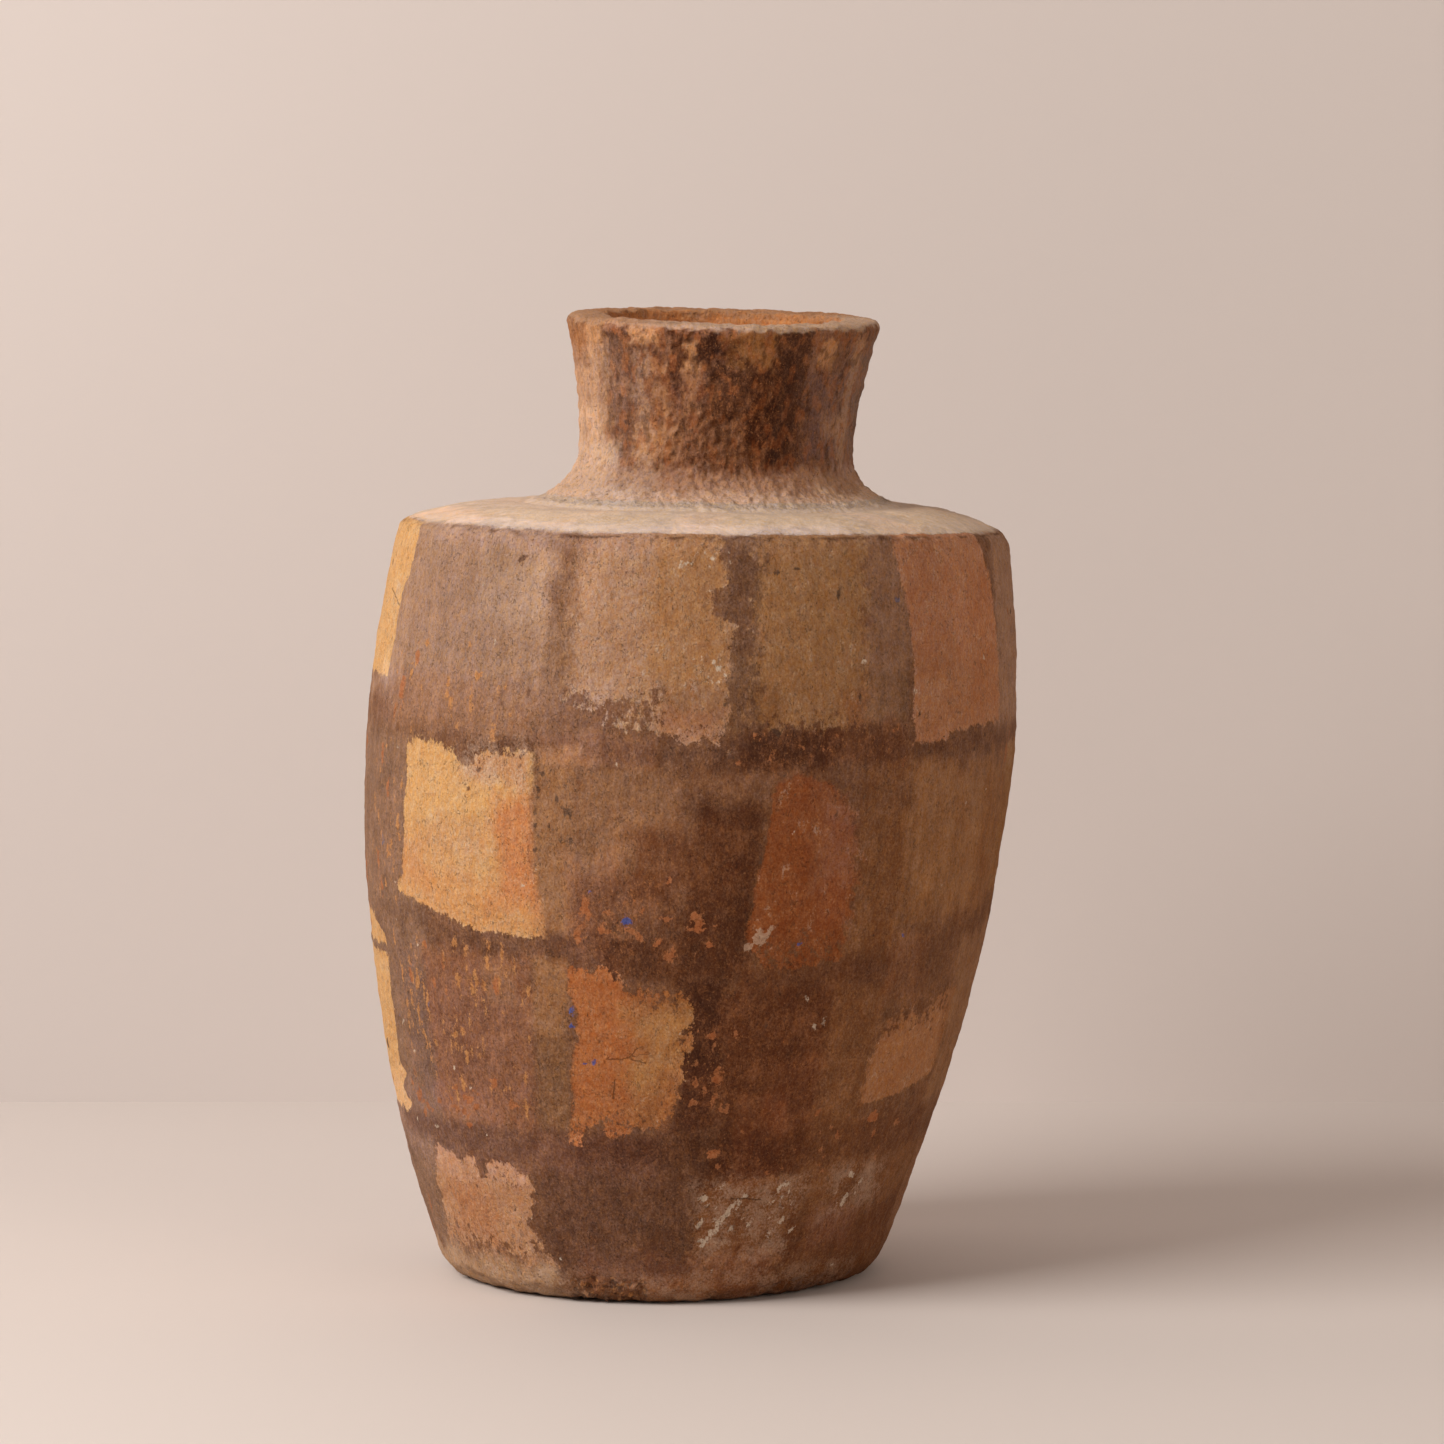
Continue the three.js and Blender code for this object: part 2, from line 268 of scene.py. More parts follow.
def settle(points):
    """The form as it was built by hand: out of round and leaning, its rings tilted and nodding backwards."""
    x, y, level = points[..., 0], points[..., 1], points[..., 2]
    angle = np.arctan2(y, x)
    swell = 1 + (OVAL * np.sin(2 * angle) + THREE_LOBES * np.sin(3 * angle)) / BELLY_RADIUS
    in_neck = 1 - smoothstep(ROOT_RADIUS, INNER_RIDGE_RADIUS, np.hypot(x, y))
    shift = math.tan(math.radians(LEAN)) * level
    shift += NECK_SHIFT * in_neck * smoothstep(LOWER_WALL, SHOULDER_BED - SCARF_DROP, level)
    fall = x * ring_slope(level, SHOULDER_TILT, LIP_TILT) + y * ring_slope(level, SHOULDER_NOD, LIP_NOD)
    return np.stack([x * swell + shift, y * swell, level - fall * swell], axis=-1)


def normals_of(points):
    """Unit normals of a grid (row, column, xyz) that closes on itself round the jar."""
    up = np.gradient(points, axis=0)
    around = np.roll(points, -1, axis=1) - np.roll(points, 1, axis=1)
    normal = np.cross(around, up)
    return normal / np.maximum(np.linalg.norm(normal, axis=-1, keepdims=True), 1e-12)


plain = revolve(profile_radius[:, None], profile_level[:, None]).astype(np.float32)
plain_normal = normals_of(plain)
ANGLE = azimuth[None, :]
RADIUS = profile_radius[:, None]
LEVEL = profile_level[:, None]
MM_PER_DEGREE = np.radians(1) * RADIUS
SHAPE = plain.shape[:2]
LEVELS, RADII = np.broadcast_to(LEVEL, SHAPE), np.broadcast_to(RADIUS, SHAPE)
UPRIGHT = np.array([1, 1, 0.16], np.float32)

# The painter's height: as seen from the front, carried on inwards over the ridge
over_ridge = (np.arange(SHAPE[0]) > at["ridge"])[:, None]
painter_tilt = plain[..., 0] * ring_slope(LEVEL, PAINT_TILT, PAINT_TILT)
painter_tilt = painter_tilt + plain[..., 1] * ring_slope(LEVEL, SHOULDER_NOD, SHOULDER_NOD)
HEIGHT = np.where(over_ridge, RIDGE + RIDGE_RADIUS - RADIUS, LEVEL) - painter_tilt

# Colours of the clay and its slips, as eight-bit screen values
COLOURS = {
    "slip": (128, 88, 63), "umber": (140, 105, 82), "mauve": (168, 131, 106),
    "light mauve": (180, 145, 119), "grey slip": (132, 96, 71), "dark slip": (106, 71, 52),
    "black slip": (95, 57, 35), "night slip": (80, 46, 28), "red slip": (106, 64, 40),
    "brown slip": (121, 81, 57), "tan slip": (146, 104, 75), "olive slip": (160, 114, 78),
    "warm slip": (172, 124, 86), "dusty slip": (164, 123, 96), "ochre": (212, 162, 108),
    "pale ochre": (192, 142, 104), "orange ochre": (200, 133, 86), "orange": (176, 108, 64),
    "deep orange": (158, 104, 64), "terracotta": (192, 134, 99), "low terracotta": (173, 120, 84),
    "red": (142, 81, 46), "dusty red": (147, 94, 65), "pink": (178, 136, 106),
    "olive ochre": (172, 125, 86), "olive": (161, 116, 78), "tan": (188, 138, 102), "brick": (146, 102, 74),
    "clay": (172, 104, 62), "dust": (203, 177, 156), "pale dust": (216, 186, 156),
    "root dust": (228, 189, 160), "lime": (205, 182, 158), "blue": (66, 84, 150),
    "grey blue": (112, 102, 116), "foot": (142, 98, 66), "foot dust": (204, 166, 132),
    "lip": (204, 168, 140), "inner clay": (206, 138, 88), "neck orange": (214, 156, 110),
    "neck tan": (236, 192, 158), "neck brown": (154, 106, 77), "flake": (82, 58, 44),
    "rim clay": (186, 130, 88), "rust": (166, 102, 62), "fleck": (196, 132, 84),
    "warm brown": (148, 100, 71), "brown olive": (134, 90, 60), "amber": (190, 128, 74),
    "dark mauve": (130, 91, 71), "neck ochre": (168, 114, 66), "root tan": (206, 160, 128),
}


def linear(name):
    """The named colour in linear light."""
    value = np.array(COLOURS[name]) / 255
    return np.where(value <= 0.04045, value / 12.92, ((value + 0.055) / 1.055) ** 2.4).astype(np.float32)


def rows(start, end):
    return slice(at[start], at[end] + 1)


WALL_ROWS = rows("underside", "root")
TOP_ROWS = rows("ridge start", "collar bed")
NECK_ROWS = rows("root", "mouth")
LIP_ROWS = rows("rim bed", "mouth")

# Paint, held for every point of the skin. Edges are distances in mm, above 0 inside.
FAR = -20.0
slip = np.empty(SHAPE + (3,), np.float32)
slip[:] = linear("slip")
square = np.empty(SHAPE + (3,), np.float32)
square[:] = linear("slip")
square_edge = np.full(SHAPE, FAR, np.float32)
square_fray = np.ones(SHAPE, np.float32)
square_soft = np.ones(SHAPE, np.float32)
mark = np.zeros(SHAPE + (3,), np.float32)
mark_edge = np.full(SHAPE, FAR, np.float32)
crack = np.full(SHAPE, FAR, np.float32)
loss = np.zeros(SHAPE, np.float32)
dust = np.zeros(SHAPE, np.float32)
wear = np.full(SHAPE, 0.4, np.float32)
grit = np.full(SHAPE, 0.55, np.float32)

wander = rough_noise(plain, 15, 3, 11)
streaks = noise(plain * UPRIGHT, 5, 21)
fray = rough_noise(plain, 6, 3, 31)
crumble = rough_noise(plain, 2.6, 2, 35)


def turn(angle):
    """Degrees from an angle to each column, -180 to 180."""
    return (ANGLE - angle + 180) % 360 - 180


def repeat(action, cases):
    """Does the same for each case, in order."""
    for case in cases:
        action(*case)


def soft_box(part, height, angles, heights, feather, ragged=0.0):
    """How far each point of a part lies inside a box with a soft, wavering edge, 0 to 1."""
    middle, half = (angles[0] + angles[1]) / 2, (angles[1] - angles[0]) / 2
    sideways = (half - np.abs(turn(middle))) * MM_PER_DEGREE[part]
    upright = np.minimum(height[part] - heights[0], heights[1] - height[part])
    wavering = EDGE_WANDER * wander[part] + EDGE_STREAKS * streaks[part]
    inside = np.minimum(sideways, upright) + feather * wavering
    inside = inside + ragged * (fray[part] + crumble[part])
    return smoothstep(-feather, feather, inside)


def blend(field, part, name, share):
    """Mixes a share of a colour into the paint."""
    share = share[..., None]
    field[part] = field[part] * (1 - share) + linear(name) * share


def wash(part, height, name, angles, heights, feather, strength, ragged=0.0):
    """Blends a colour into the slip in a soft box."""
    blend(slip, part, name, soft_box(part, height, angles, heights, feather, ragged) * strength)


def wash_wall(name, angles, heights, feather=5.0, strength=1.0):
    wash(WALL_ROWS, HEIGHT, name, angles, heights, feather, strength)


def wash_neck(name, angles, heights, feather=2.0, strength=1.0):
    wash(NECK_ROWS, LEVELS, name, angles, heights, 0.7 * feather, strength, 2.2)


def wash_top(name, angles, radii, feather=4.0, strength=1.0):
    wash(TOP_ROWS, RADII, name, angles, radii, feather, strength)


def tinge_and_shade(part, height, angles, heights, factors, feather):
    """Multiplies the paint in a soft box; some boxes are painted shade, the rest a change in colour."""
    share = soft_box(part, height, angles, heights, feather)[..., None]
    change = 1 + share * (np.array(factors, np.float32) - 1)
    slip[part] *= change
    square[part] *= change


def tinge_and_shade_wall(angles, heights, factors, feather=6.0):
    tinge_and_shade(WALL_ROWS, HEIGHT, angles, heights, factors, feather)


def tinge_neck(angles, heights, factors, feather=3.0):
    tinge_and_shade(NECK_ROWS, LEVELS, angles, heights, factors, feather)


def along(points, position):
    """A line through a few (position, value) points."""
    places, values = zip(*points)
    return np.interp(position, places, values)


def paint_square(name, left, right, bottom, top):
    """A painted square. Each edge holds its points, how far it frays and how softly it fades, in mm.
    Points are (height, angle) at the sides, and (angle, height) at the bottom and top."""
    part = WALL_ROWS
    height = HEIGHT[part]
    middle = (left[0][0][1] + right[0][0][1]) / 2
    angle = middle + turn(middle)
    sides = [
        ((angle - along(left[0], height)) * MM_PER_DEGREE[part], left),
        ((along(right[0], height) - angle) * MM_PER_DEGREE[part], right),
        (height - along(bottom[0], angle), bottom),
        (along(top[0], angle) - height, top),
    ]
    distances = np.stack([distance + edge[1] * fray[part] for distance, edge in sides])
    nearest = distances.argmin(0)
    inside = distances.min(0)
    nearer = inside > square_edge[part]
    square[part][nearer] = linear(name)
    square_fray[part][nearer] = np.array([edge[1] for _, edge in sides])[nearest][nearer]
    square_soft[part][nearer] = np.array([edge[2] for _, edge in sides])[nearest][nearer]
    square_edge[part] = np.maximum(square_edge[part], inside)


def tint_square(name, angles, heights, feather=5.0, strength=1.0):
    """Blends a colour softly into the squares that it lies over."""
    blend(square, WALL_ROWS, name, soft_box(WALL_ROWS, HEIGHT, angles, heights, feather) * strength)


def near_rows(part, level, reach):
    """The rows of a part within a reach of a level."""
    first = part.start + int(np.searchsorted(profile_level[part], level - reach))
    last = part.start + int(np.searchsorted(profile_level[part], level + reach))
    return slice(first, last)


def spot_distance(window, angle, level, tall, slant=0.0):
    """Distance in mm from a spot. Tall spots count less upright, and slanted ones lean to the right."""
    upright = HEIGHT[window] - level
    sideways = turn(angle) * MM_PER_DEGREE[window] - slant * upright
    return np.hypot(sideways, upright / tall)


def dab(part, name, angle, level, size, tall=1.0, slant=0.0):
    """A small mark with a ragged edge."""
    window = near_rows(part, level, size * max(tall, 1) + MARK_MARGIN)
    edge = size - spot_distance(window, angle, level, tall, slant) + 0.9 * size * crumble[window]
    nearer = edge > mark_edge[window]
    mark[window][nearer] = linear(name)
    mark_edge[window] = np.maximum(mark_edge[window], edge)


def dabs(part, name, spots):
    for spot in spots:
        dab(part, name, *spot)


def scatter(part, name, count, angles, heights, sizes, talls, seed, slant=0.0):
    """Small marks strewn over a box."""
    chance = np.random.default_rng(seed)
    for _ in range(count):
        size = sizes[0] + (sizes[1] - sizes[0]) * chance.random() ** 2
        dab(part, name, chance.uniform(*angles), chance.uniform(*heights), size,
            chance.uniform(*talls), slant)


def crack_line(points):
    """A fine crack through (angle, height) points. The field changes sign across it."""
    part = WALL_ROWS
    for (start_angle, start), (end_angle, end) in zip(points, points[1:]):
        scale = MM_PER_DEGREE[part]
        across = np.stack(np.broadcast_arrays((end_angle - start_angle) * scale, end - start))
        length = np.hypot(*across)
        here = (turn(start_angle) * scale, HEIGHT[part] - start)
        forward = (here[0] * across[0] + here[1] * across[1]) / length
        sideways = (here[0] * across[1] - here[1] * across[0]) / length + 0.5 * crumble[part]
        nearer = (forward > 0) & (forward < length) & (np.abs(sideways) < np.abs(crack[part]))
        crack[part][nearer] = sideways[nearer]


def spread(field, angles, heights, amount, feather=6.0):
    """Raises a field of the wall, such as the dust, within a soft box."""
    share = soft_box(WALL_ROWS, HEIGHT, angles, heights, feather) * amount
    field[WALL_ROWS] = np.maximum(field[WALL_ROWS], share)


def paint_wall_slip():
    """The brown slip round the squares, darker and greyer from stroke to stroke."""
    # Colour, angles, heights, how softly it ends in mm, and its strength
    repeat(wash_wall, [
        ("umber", (-110, -52), (60, 262), 8), ("mauve", (-100, -26), (284, 380), 12),
        ("light mauve", (-43, -28), (316, 347), 7, 0.7), ("tan slip", (-66, -24), (262, 292), 8, 0.8),
        ("pink", (-24, -18), (290, 360), 3, 0.6), ("grey slip", (-26.5, -22), (286, 340), 2.5, 0.5),
        ("dark slip", (-28, -21), (262, 288), 3, 0.25), ("grey slip", (4, 12), (270, 380), 3),
        ("dark slip", (4.5, 10), (306, 352), 2.5, 0.6), ("grey slip", (31, 41), (268, 296), 2.5),
        ("dusty slip", (31, 41), (294, 380), 3, 0.6), ("dusty slip", (70, 92), (262, 380), 5),
        ("dark slip", (-50, 12), (255, 266), 3.5, 0.45), ("black slip", (9, 26), (254, 272), 3.5, 0.9),
        ("red slip", (23, 41), (254, 272), 4, 0.7), ("dark slip", (42, 76), (251, 263), 2.5, 0.4),
        ("tan slip", (-27.5, -19.5), (178, 262), 2.5), ("olive slip", (-27.5, -19.5), (178, 262), 2.5, 0.6),
        ("tan slip", (-20, -3), (206, 256), 6), ("brown slip", (-19, 1), (165, 200), 5),
        ("red slip", (-9, 3), (196, 226), 6, 0.8), ("black slip", (1, 13), (160, 240), 5),
        ("night slip", (-4, 11), (160, 196), 6, 0.55), ("brown olive", (32, 43), (160, 250), 5),
        ("warm slip", (43, 92), (180, 250), 8, 0.65), ("dark slip", (-74, -40), (165, 184), 4, 0.35),
        ("dark slip", (-46, -12), (162, 176), 3, 0.7), ("black slip", (-14, 12), (156, 176), 4, 0.9),
        ("red slip", (12, 42), (140, 163), 4, 0.7), ("dark slip", (34, 60), (146, 166), 5, 0.4),
        ("dusty slip", (66, 92), (138, 165), 5, 0.8), ("umber", (-70, -54), (86, 172), 4, 0.8),
        ("warm brown", (-54, -27), (82, 165), 5), ("warm slip", (-38, -31), (142, 160), 3, 0.5),
        ("olive slip", (-27, -20), (84, 165), 2.5, 0.8), ("night slip", (1, 9.5), (84, 158), 4),
        ("red slip", (9, 31), (62, 152), 5), ("brown olive", (31, 43), (66, 150), 5, 0.9),
        ("dusty slip", (68, 92), (86, 150), 4), ("dark slip", (-74, 8), (68, 84), 4, 0.8),
        ("night slip", (-20, 8), (62, 84), 5, 0.7), ("night slip", (4, 24), (64, 84), 6, 0.7),
        ("red slip", (24, 70), (64, 84), 5, 0.6), ("umber", (-100, -60), (16, 72), 5),
        ("dark slip", (-29, 7), (14, 70), 5, 0.9), ("brown olive", (30, 100), (14, 66), 5, 0.9),
        ("red slip", (20, 75), (12, 42), 8, 0.7), ("umber", (104, 250), (60, 352), 12, 0.5),
        ("dark slip", (92, 256), (254, 270), 5, 0.7), ("dark slip", (92, 256), (162, 180), 5, 0.7),
        ("dark slip", (92, 256), (68, 86), 5, 0.7), ("foot", ALL_ROUND, (-20, 12), 6, 0.8),
        ("foot dust", (-90, -26), (-5, 18), 4, 0.6), ("red slip", (14, 90), (-15, 12), 5, 0.6)])


def paint_front_squares():
    """The squares that show from the front, row by row from the top."""
    # Colour, then the left, right, bottom and top edges
    repeat(paint_square, [
        ("ochre", ([(285, -98)], 1, 0.5),
         ([(285, -70.5), (300, -69.5), (325, -69), (333, -67), (350, -66), (358, -68)], 0.8, 0.4),
         ([(-80, 285)], 1, 0.5), ([(-80, 357)], 0.5, 0.5)),
        ("pink", ([(280, -22)], 2, 5), ([(270, 6), (285, 5.5), (318, 6.5), (324, 2.5), (334, 2.5),
         (338, 5.5), (350, 3), (370, 5)], 1.8, 0.7),
         ([(-22, 286), (-17, 281), (-10, 272), (-3, 268), (6, 266)], 5, 0.8), ([(0, 380)], 1, 1)),
        ("olive", ([(272, 10.5)], 4, 3), ([(272, 31)], 3, 4), ([(10, 275), (31, 271)], 4, 1.5),
         ([(0, 380)], 1, 1)),
        ("terracotta", ([(262, 42.5), (300, 42), (325, 40.5), (350, 38), (370, 38)], 1.4, 0.8),
         ([(262, 71), (300, 70.5), (330, 68), (350, 65), (370, 64)], 0.8, 1.2),
         ([(42, 261), (51, 261), (53, 265), (72, 266)], 1.4, 0.6), ([(0, 380)], 1, 1)),
        ("ochre", ([(187, -60.5), (191, -61.5), (197, -59.6), (240, -58.7), (260, -59)], 0.7, 0.4),
         ([(175, -24.8), (190, -25.6), (200, -26.6), (215, -27.5), (262, -28)], 0.8, 3),
         ([(-61, 188), (-55, 186), (-48, 182), (-43, 178.5), (-38, 176), (-25, 175)], 1.2, 0.5),
         ([(-59, 259), (-53, 261), (-46, 258), (-43.5, 252), (-40.5, 251), (-39.5, 257), (-36, 259),
         (-28, 260)], 2.2, 0.8)),
        ("red", ([(163, 12.3), (180, 11.8), (200, 12.8), (215, 13.8), (240, 14.6), (250, 15.5)], 1, 0.6),
         ([(160, 30.5), (205, 32), (225, 31), (240, 28), (250, 24)], 3, 2.5),
         ([(12, 173), (14.5, 165), (18, 163), (22, 160), (26, 164), (32, 165)], 3, 0.7),
         ([(14, 248), (20, 250), (24, 247), (28, 240), (32, 236)], 1.5, 1.5)),
        ("ochre", ([(160, -98)], 1, 0.5), ([(159, -69.5), (166, -70), (172, -76)], 1, 0.4),
         ([(-80, 160)], 1.2, 0.5), ([(-80, 174)], 1, 0.5)),
        ("ochre", ([(82, -98)], 1, 0.5), ([(82, -69.5), (86, -68), (93, -71.8), (100, -68), (106, -71),
         (120, -70), (157, -69.5)], 0.9, 0.4), ([(-80, 82)], 1.5, 0.5), ([(-80, 156)], 1.2, 0.5)),
        ("orange",
         ([(80, -20.6), (95, -19.6), (115, -19.8), (130, -18.2), (141, -18.5), (150, -20)], 0.9, 0.9),
         ([(90, -1), (97, 1), (105, 1.6), (112, 2.6), (118, 2), (126, 3.2), (133, 2), (138, 3.6),
         (147, 2.2), (152, 0)], 2.4, 0.5), ([(-20.6, 79), (-18, 80), (-16.4, 87), (-14, 92), (-12.6, 84),
         (-9, 83), (-7, 89), (-4, 86), (-1.5, 89), (3, 94)], 3, 0.6),
         ([(-20, 160), (-14, 162), (-11, 159), (-9, 151), (-5, 152), (3, 150)], 2.8, 0.6)),
        ("low terracotta", ([(92, 42.5), (110, 42), (125, 43.8), (140, 47.5)], 2, 2.5),
         ([(93, 66.5), (110, 68), (141, 69)], 1, 1), ([(42, 92), (55, 95), (68, 101)], 0.8, 0.7),
         ([(42, 129), (50, 133), (55, 130), (60, 138), (69, 141)], 3, 2)),
        ("tan", ([(20, -67), (42, -63), (50, -63.8), (64, -60.6), (72, -60)], 1.5, 1),
         ([(20, -27.5), (38, -33), (42, -31.5), (55, -30.5), (62, -32.5)], 2, 1),
         ([(-60, 22), (-44, 19), (-28, 21)], 6, 6), ([(-60, 70), (-52, 66), (-50, 63.5), (-48, 67),
         (-45.8, 66.5), (-45.2, 58), (-43.4, 57), (-42.8, 66), (-36, 66), (-32, 61), (-30, 54)], 1.4, 0.6)),
        ("brick", ([(20, 7)], 3, 2), ([(20, 30)], 3, 4), ([(7, 23), (30, 20)], 4, 5),
         ([(6, 57), (15, 61), (25, 62), (30, 60)], 2, 1))])
    # Colour, angles, heights, how softly it ends in mm, and its strength
    repeat(tint_square, [
        ("olive ochre", (-9, 7), (280, 380), 7), ("pink", (-8, 7), (266, 292), 6, 0.6),
        ("terracotta", (-6, 6), (262, 282), 5, 0.5), ("red", (27, 33), (268, 285), 5, 0.5),
        ("pale ochre", (-42, -28), (244, 262), 5, 0.9), ("orange ochre", (-35, -22), (188, 240), 7),
        ("orange ochre", (-60, -52), (196, 216), 9, 0.4), ("orange ochre", (-60, -24), (170, 206), 12, 0.4),
        ("pale ochre", (-54, -38), (206, 224), 9, 0.5), ("deep orange", (-8, 5), (82, 150), 7, 0.9),
        ("ochre", (-8, 3), (110, 140), 9, 0.35), ("dusty red", (23, 34), (200, 246), 7, 0.9),
        ("low terracotta", (42, 76), (262, 300), 9, 0.6), ("orange", (58, 70), (272, 340), 7, 0.4),
        ("red", (40, 52), (290, 352), 6, 0.25), ("orange", (-58, -42), (24, 50), 8, 0.4)])


def paint_back_squares():
    """The check carried on round the side and back, where the photograph doesn't show it."""
    levels = {1: (273, 380), 2: (182, 255), 3: (88, 158), 4: (22, 66)}
    columns = [(91, (2, 4)), (127, (1, 3)), (163, (2, 4)), (199, (1, 3)), (235, (2, 4))]
    choices = ["ochre", "terracotta", "olive", "orange", "brick", "tan", "red"]
    chance = np.random.default_rng(23)
    half = 14.0
    for index, (middle, row_numbers) in enumerate(columns):
        for row_number in row_numbers:
            low, high = levels[row_number]
            shift = chance.uniform(-2.5, 2.5, 8)
            soft = chance.uniform(0.4, 3, 4)
            paint_square(
                choices[(index * 3 + row_number) % len(choices)],
                ([(low, middle - half + shift[0]), (high, middle - half + shift[1])], 1.4, soft[0]),
                ([(low, middle + half + shift[2]), (high, middle + half + shift[3])], 2, soft[1]),
                ([(middle - half, low + shift[4]), (middle + half, low + shift[5])], 3, soft[2]),
                ([(middle - half, high + shift[6]), (middle + half, high + shift[7])], 2.2, soft[3]))


def paint_top():
    """Dust on the sloping shoulder, up to a thin dark line along the ridge."""
    part = TOP_ROWS
    inwards = DUST_RADIUS - RADIUS[part] + 0.7 * fray[part] + 0.5 * wander[part]
    blend(slip, part, "dust", smoothstep(-1.2, 2.4, inwards))
    square_edge[part] = np.where(over_ridge[part], np.minimum(square_edge[part], -inwards), square_edge[part])
    dark_line = np.exp(-((inwards + 1.8) / 1.3) ** 2) * smoothstep(-0.3, 0.7, fray[part] + 0.8 * wander[part])
    for field in (slip, square):
        blend(field, part, "night slip", dark_line * 0.8)
    for angles in ((-34, -27), (-6, 4), (38, 48), (84, 92), (120, 130), (160, 168), (196, 206), (236, 244)):
        wash_top("root dust", angles, (92, 136), 4, 0.4)
    repeat(wash_top, [
        ("root dust", (-88, -50), (118, 139), 5, 0.7), ("pale dust", (4, 36), (98, 128), 7, 0.6),
        ("pale dust", (52, 86), (94, 126), 7, 0.6), ("pale dust", (-60, -12), (104, 132), 8, 0.5)])


def tinge_and_shade_front():
    """Warm, greyed and paler patches and painted shade over the slip and squares, as the photograph shows
    them.
    """
    # Angles, heights, factors for red, green and blue, and how softly it ends in mm
    repeat(tinge_and_shade_wall, [
        # Warmer over the right half, and darker and warmer on the right side turned from the lamp: painted
        # shade
        ((-2, 100), (-20, 235), (1.0, 0.96, 0.85), 25), ((66, 100), (85, 245), (0.85, 0.78, 0.68)),
        ((-60, 30), (350, 374), (1.1, 1.13, 1.25), 3), ((-31, -18), (322, 350), (1.15, 1.17, 1.22), 5),
        ((-60, -36), (296, 345), (0.87, 0.87, 0.9), 10), ((-75, -14), (266, 292), (1.16, 1.24, 1.42)),
        ((-6, 15), (272, 292), (0.78, 0.72, 0.66), 5), ((31, 39), (272, 290), (1.25, 1.25, 1.25), 3),
        ((-28, -6), (254, 268), (1.22, 1.22, 1.3), 3), ((3, 24), (254, 270), (0.8, 0.78, 0.78), 3),
        ((-12, 9), (178, 232), (1.15, 1.15, 1.15), 8), ((-20, -12), (160, 212), (1.15, 1.13, 1.18)),
        ((25, 31), (180, 236), (1.12, 1.14, 1.3), 4), ((42, 52), (138, 170), (1.22, 1.2, 1.2), 5),
        ((-62, -30), (92, 160), (0.84, 0.86, 0.98), 12), ((-28, -20), (84, 130), (0.72, 0.72, 0.75), 4),
        ((-2, 8), (84, 118), (1.2, 1.2, 1.25), 4), ((20, 30), (84, 118), (1.2, 1.2, 1.25), 4),
        ((-85, -33), (60, 98), (1.18, 1.23, 1.42), 8), ((-32, -2), (62, 84), (1.28, 1.28, 1.4)),
        ((14, 24), (60, 98), (1.28, 1.24, 1.25), 5), ((8, 26), (28, 62), (0.9, 0.83, 0.74)),
        ((38, 52), (24, 44), (1.3, 1.4, 1.8), 5), ((-20, 28), (2, 24), (1.26, 1.23, 1.32)),
        # Darker and warmer at the right of the foot, down by the floor: painted shade
        ((32, 95), (-20, 14), (0.85, 0.75, 0.56))])
    repeat(tinge_neck, [
        ((-110, -63), (426, 446), (0.68, 0.6, 0.54)), ((-110, -52), (408, 428), (0.82, 0.78, 0.76)),
        ((-51, -40), (400, 440), (1.12, 1.24, 1.38), 3), ((-50, 10), (443, 450), (1.2, 1.2, 1.28), 1.5),
        ((-38, -20), (408, 440), (0.74, 0.72, 0.74)), ((-20, -5), (408, 426), (0.68, 0.64, 0.68), 2),
        ((-3, 8), (424, 442), (0.58, 0.54, 0.56)), ((-6, 12), (378, 408), (0.78, 0.75, 0.7), 4),
        ((12, 24), (378, 426), (0.68, 0.58, 0.46)), ((24, 30), (378, 442), (0.78, 0.76, 0.76), 2),
        ((31, 41), (412, 446), (1.1, 1.2, 1.35), 2), ((41, 56), (386, 426), (1.0, 1.12, 1.4)),
        ((57, 90), (378, 442), (1.04, 1.15, 1.35), 4), ((-22, 42), (366, 386), (0.95, 0.92, 0.94), 4),
        ((-50, -22), (366, 388), (0.95, 1.02, 1.14), 4)])


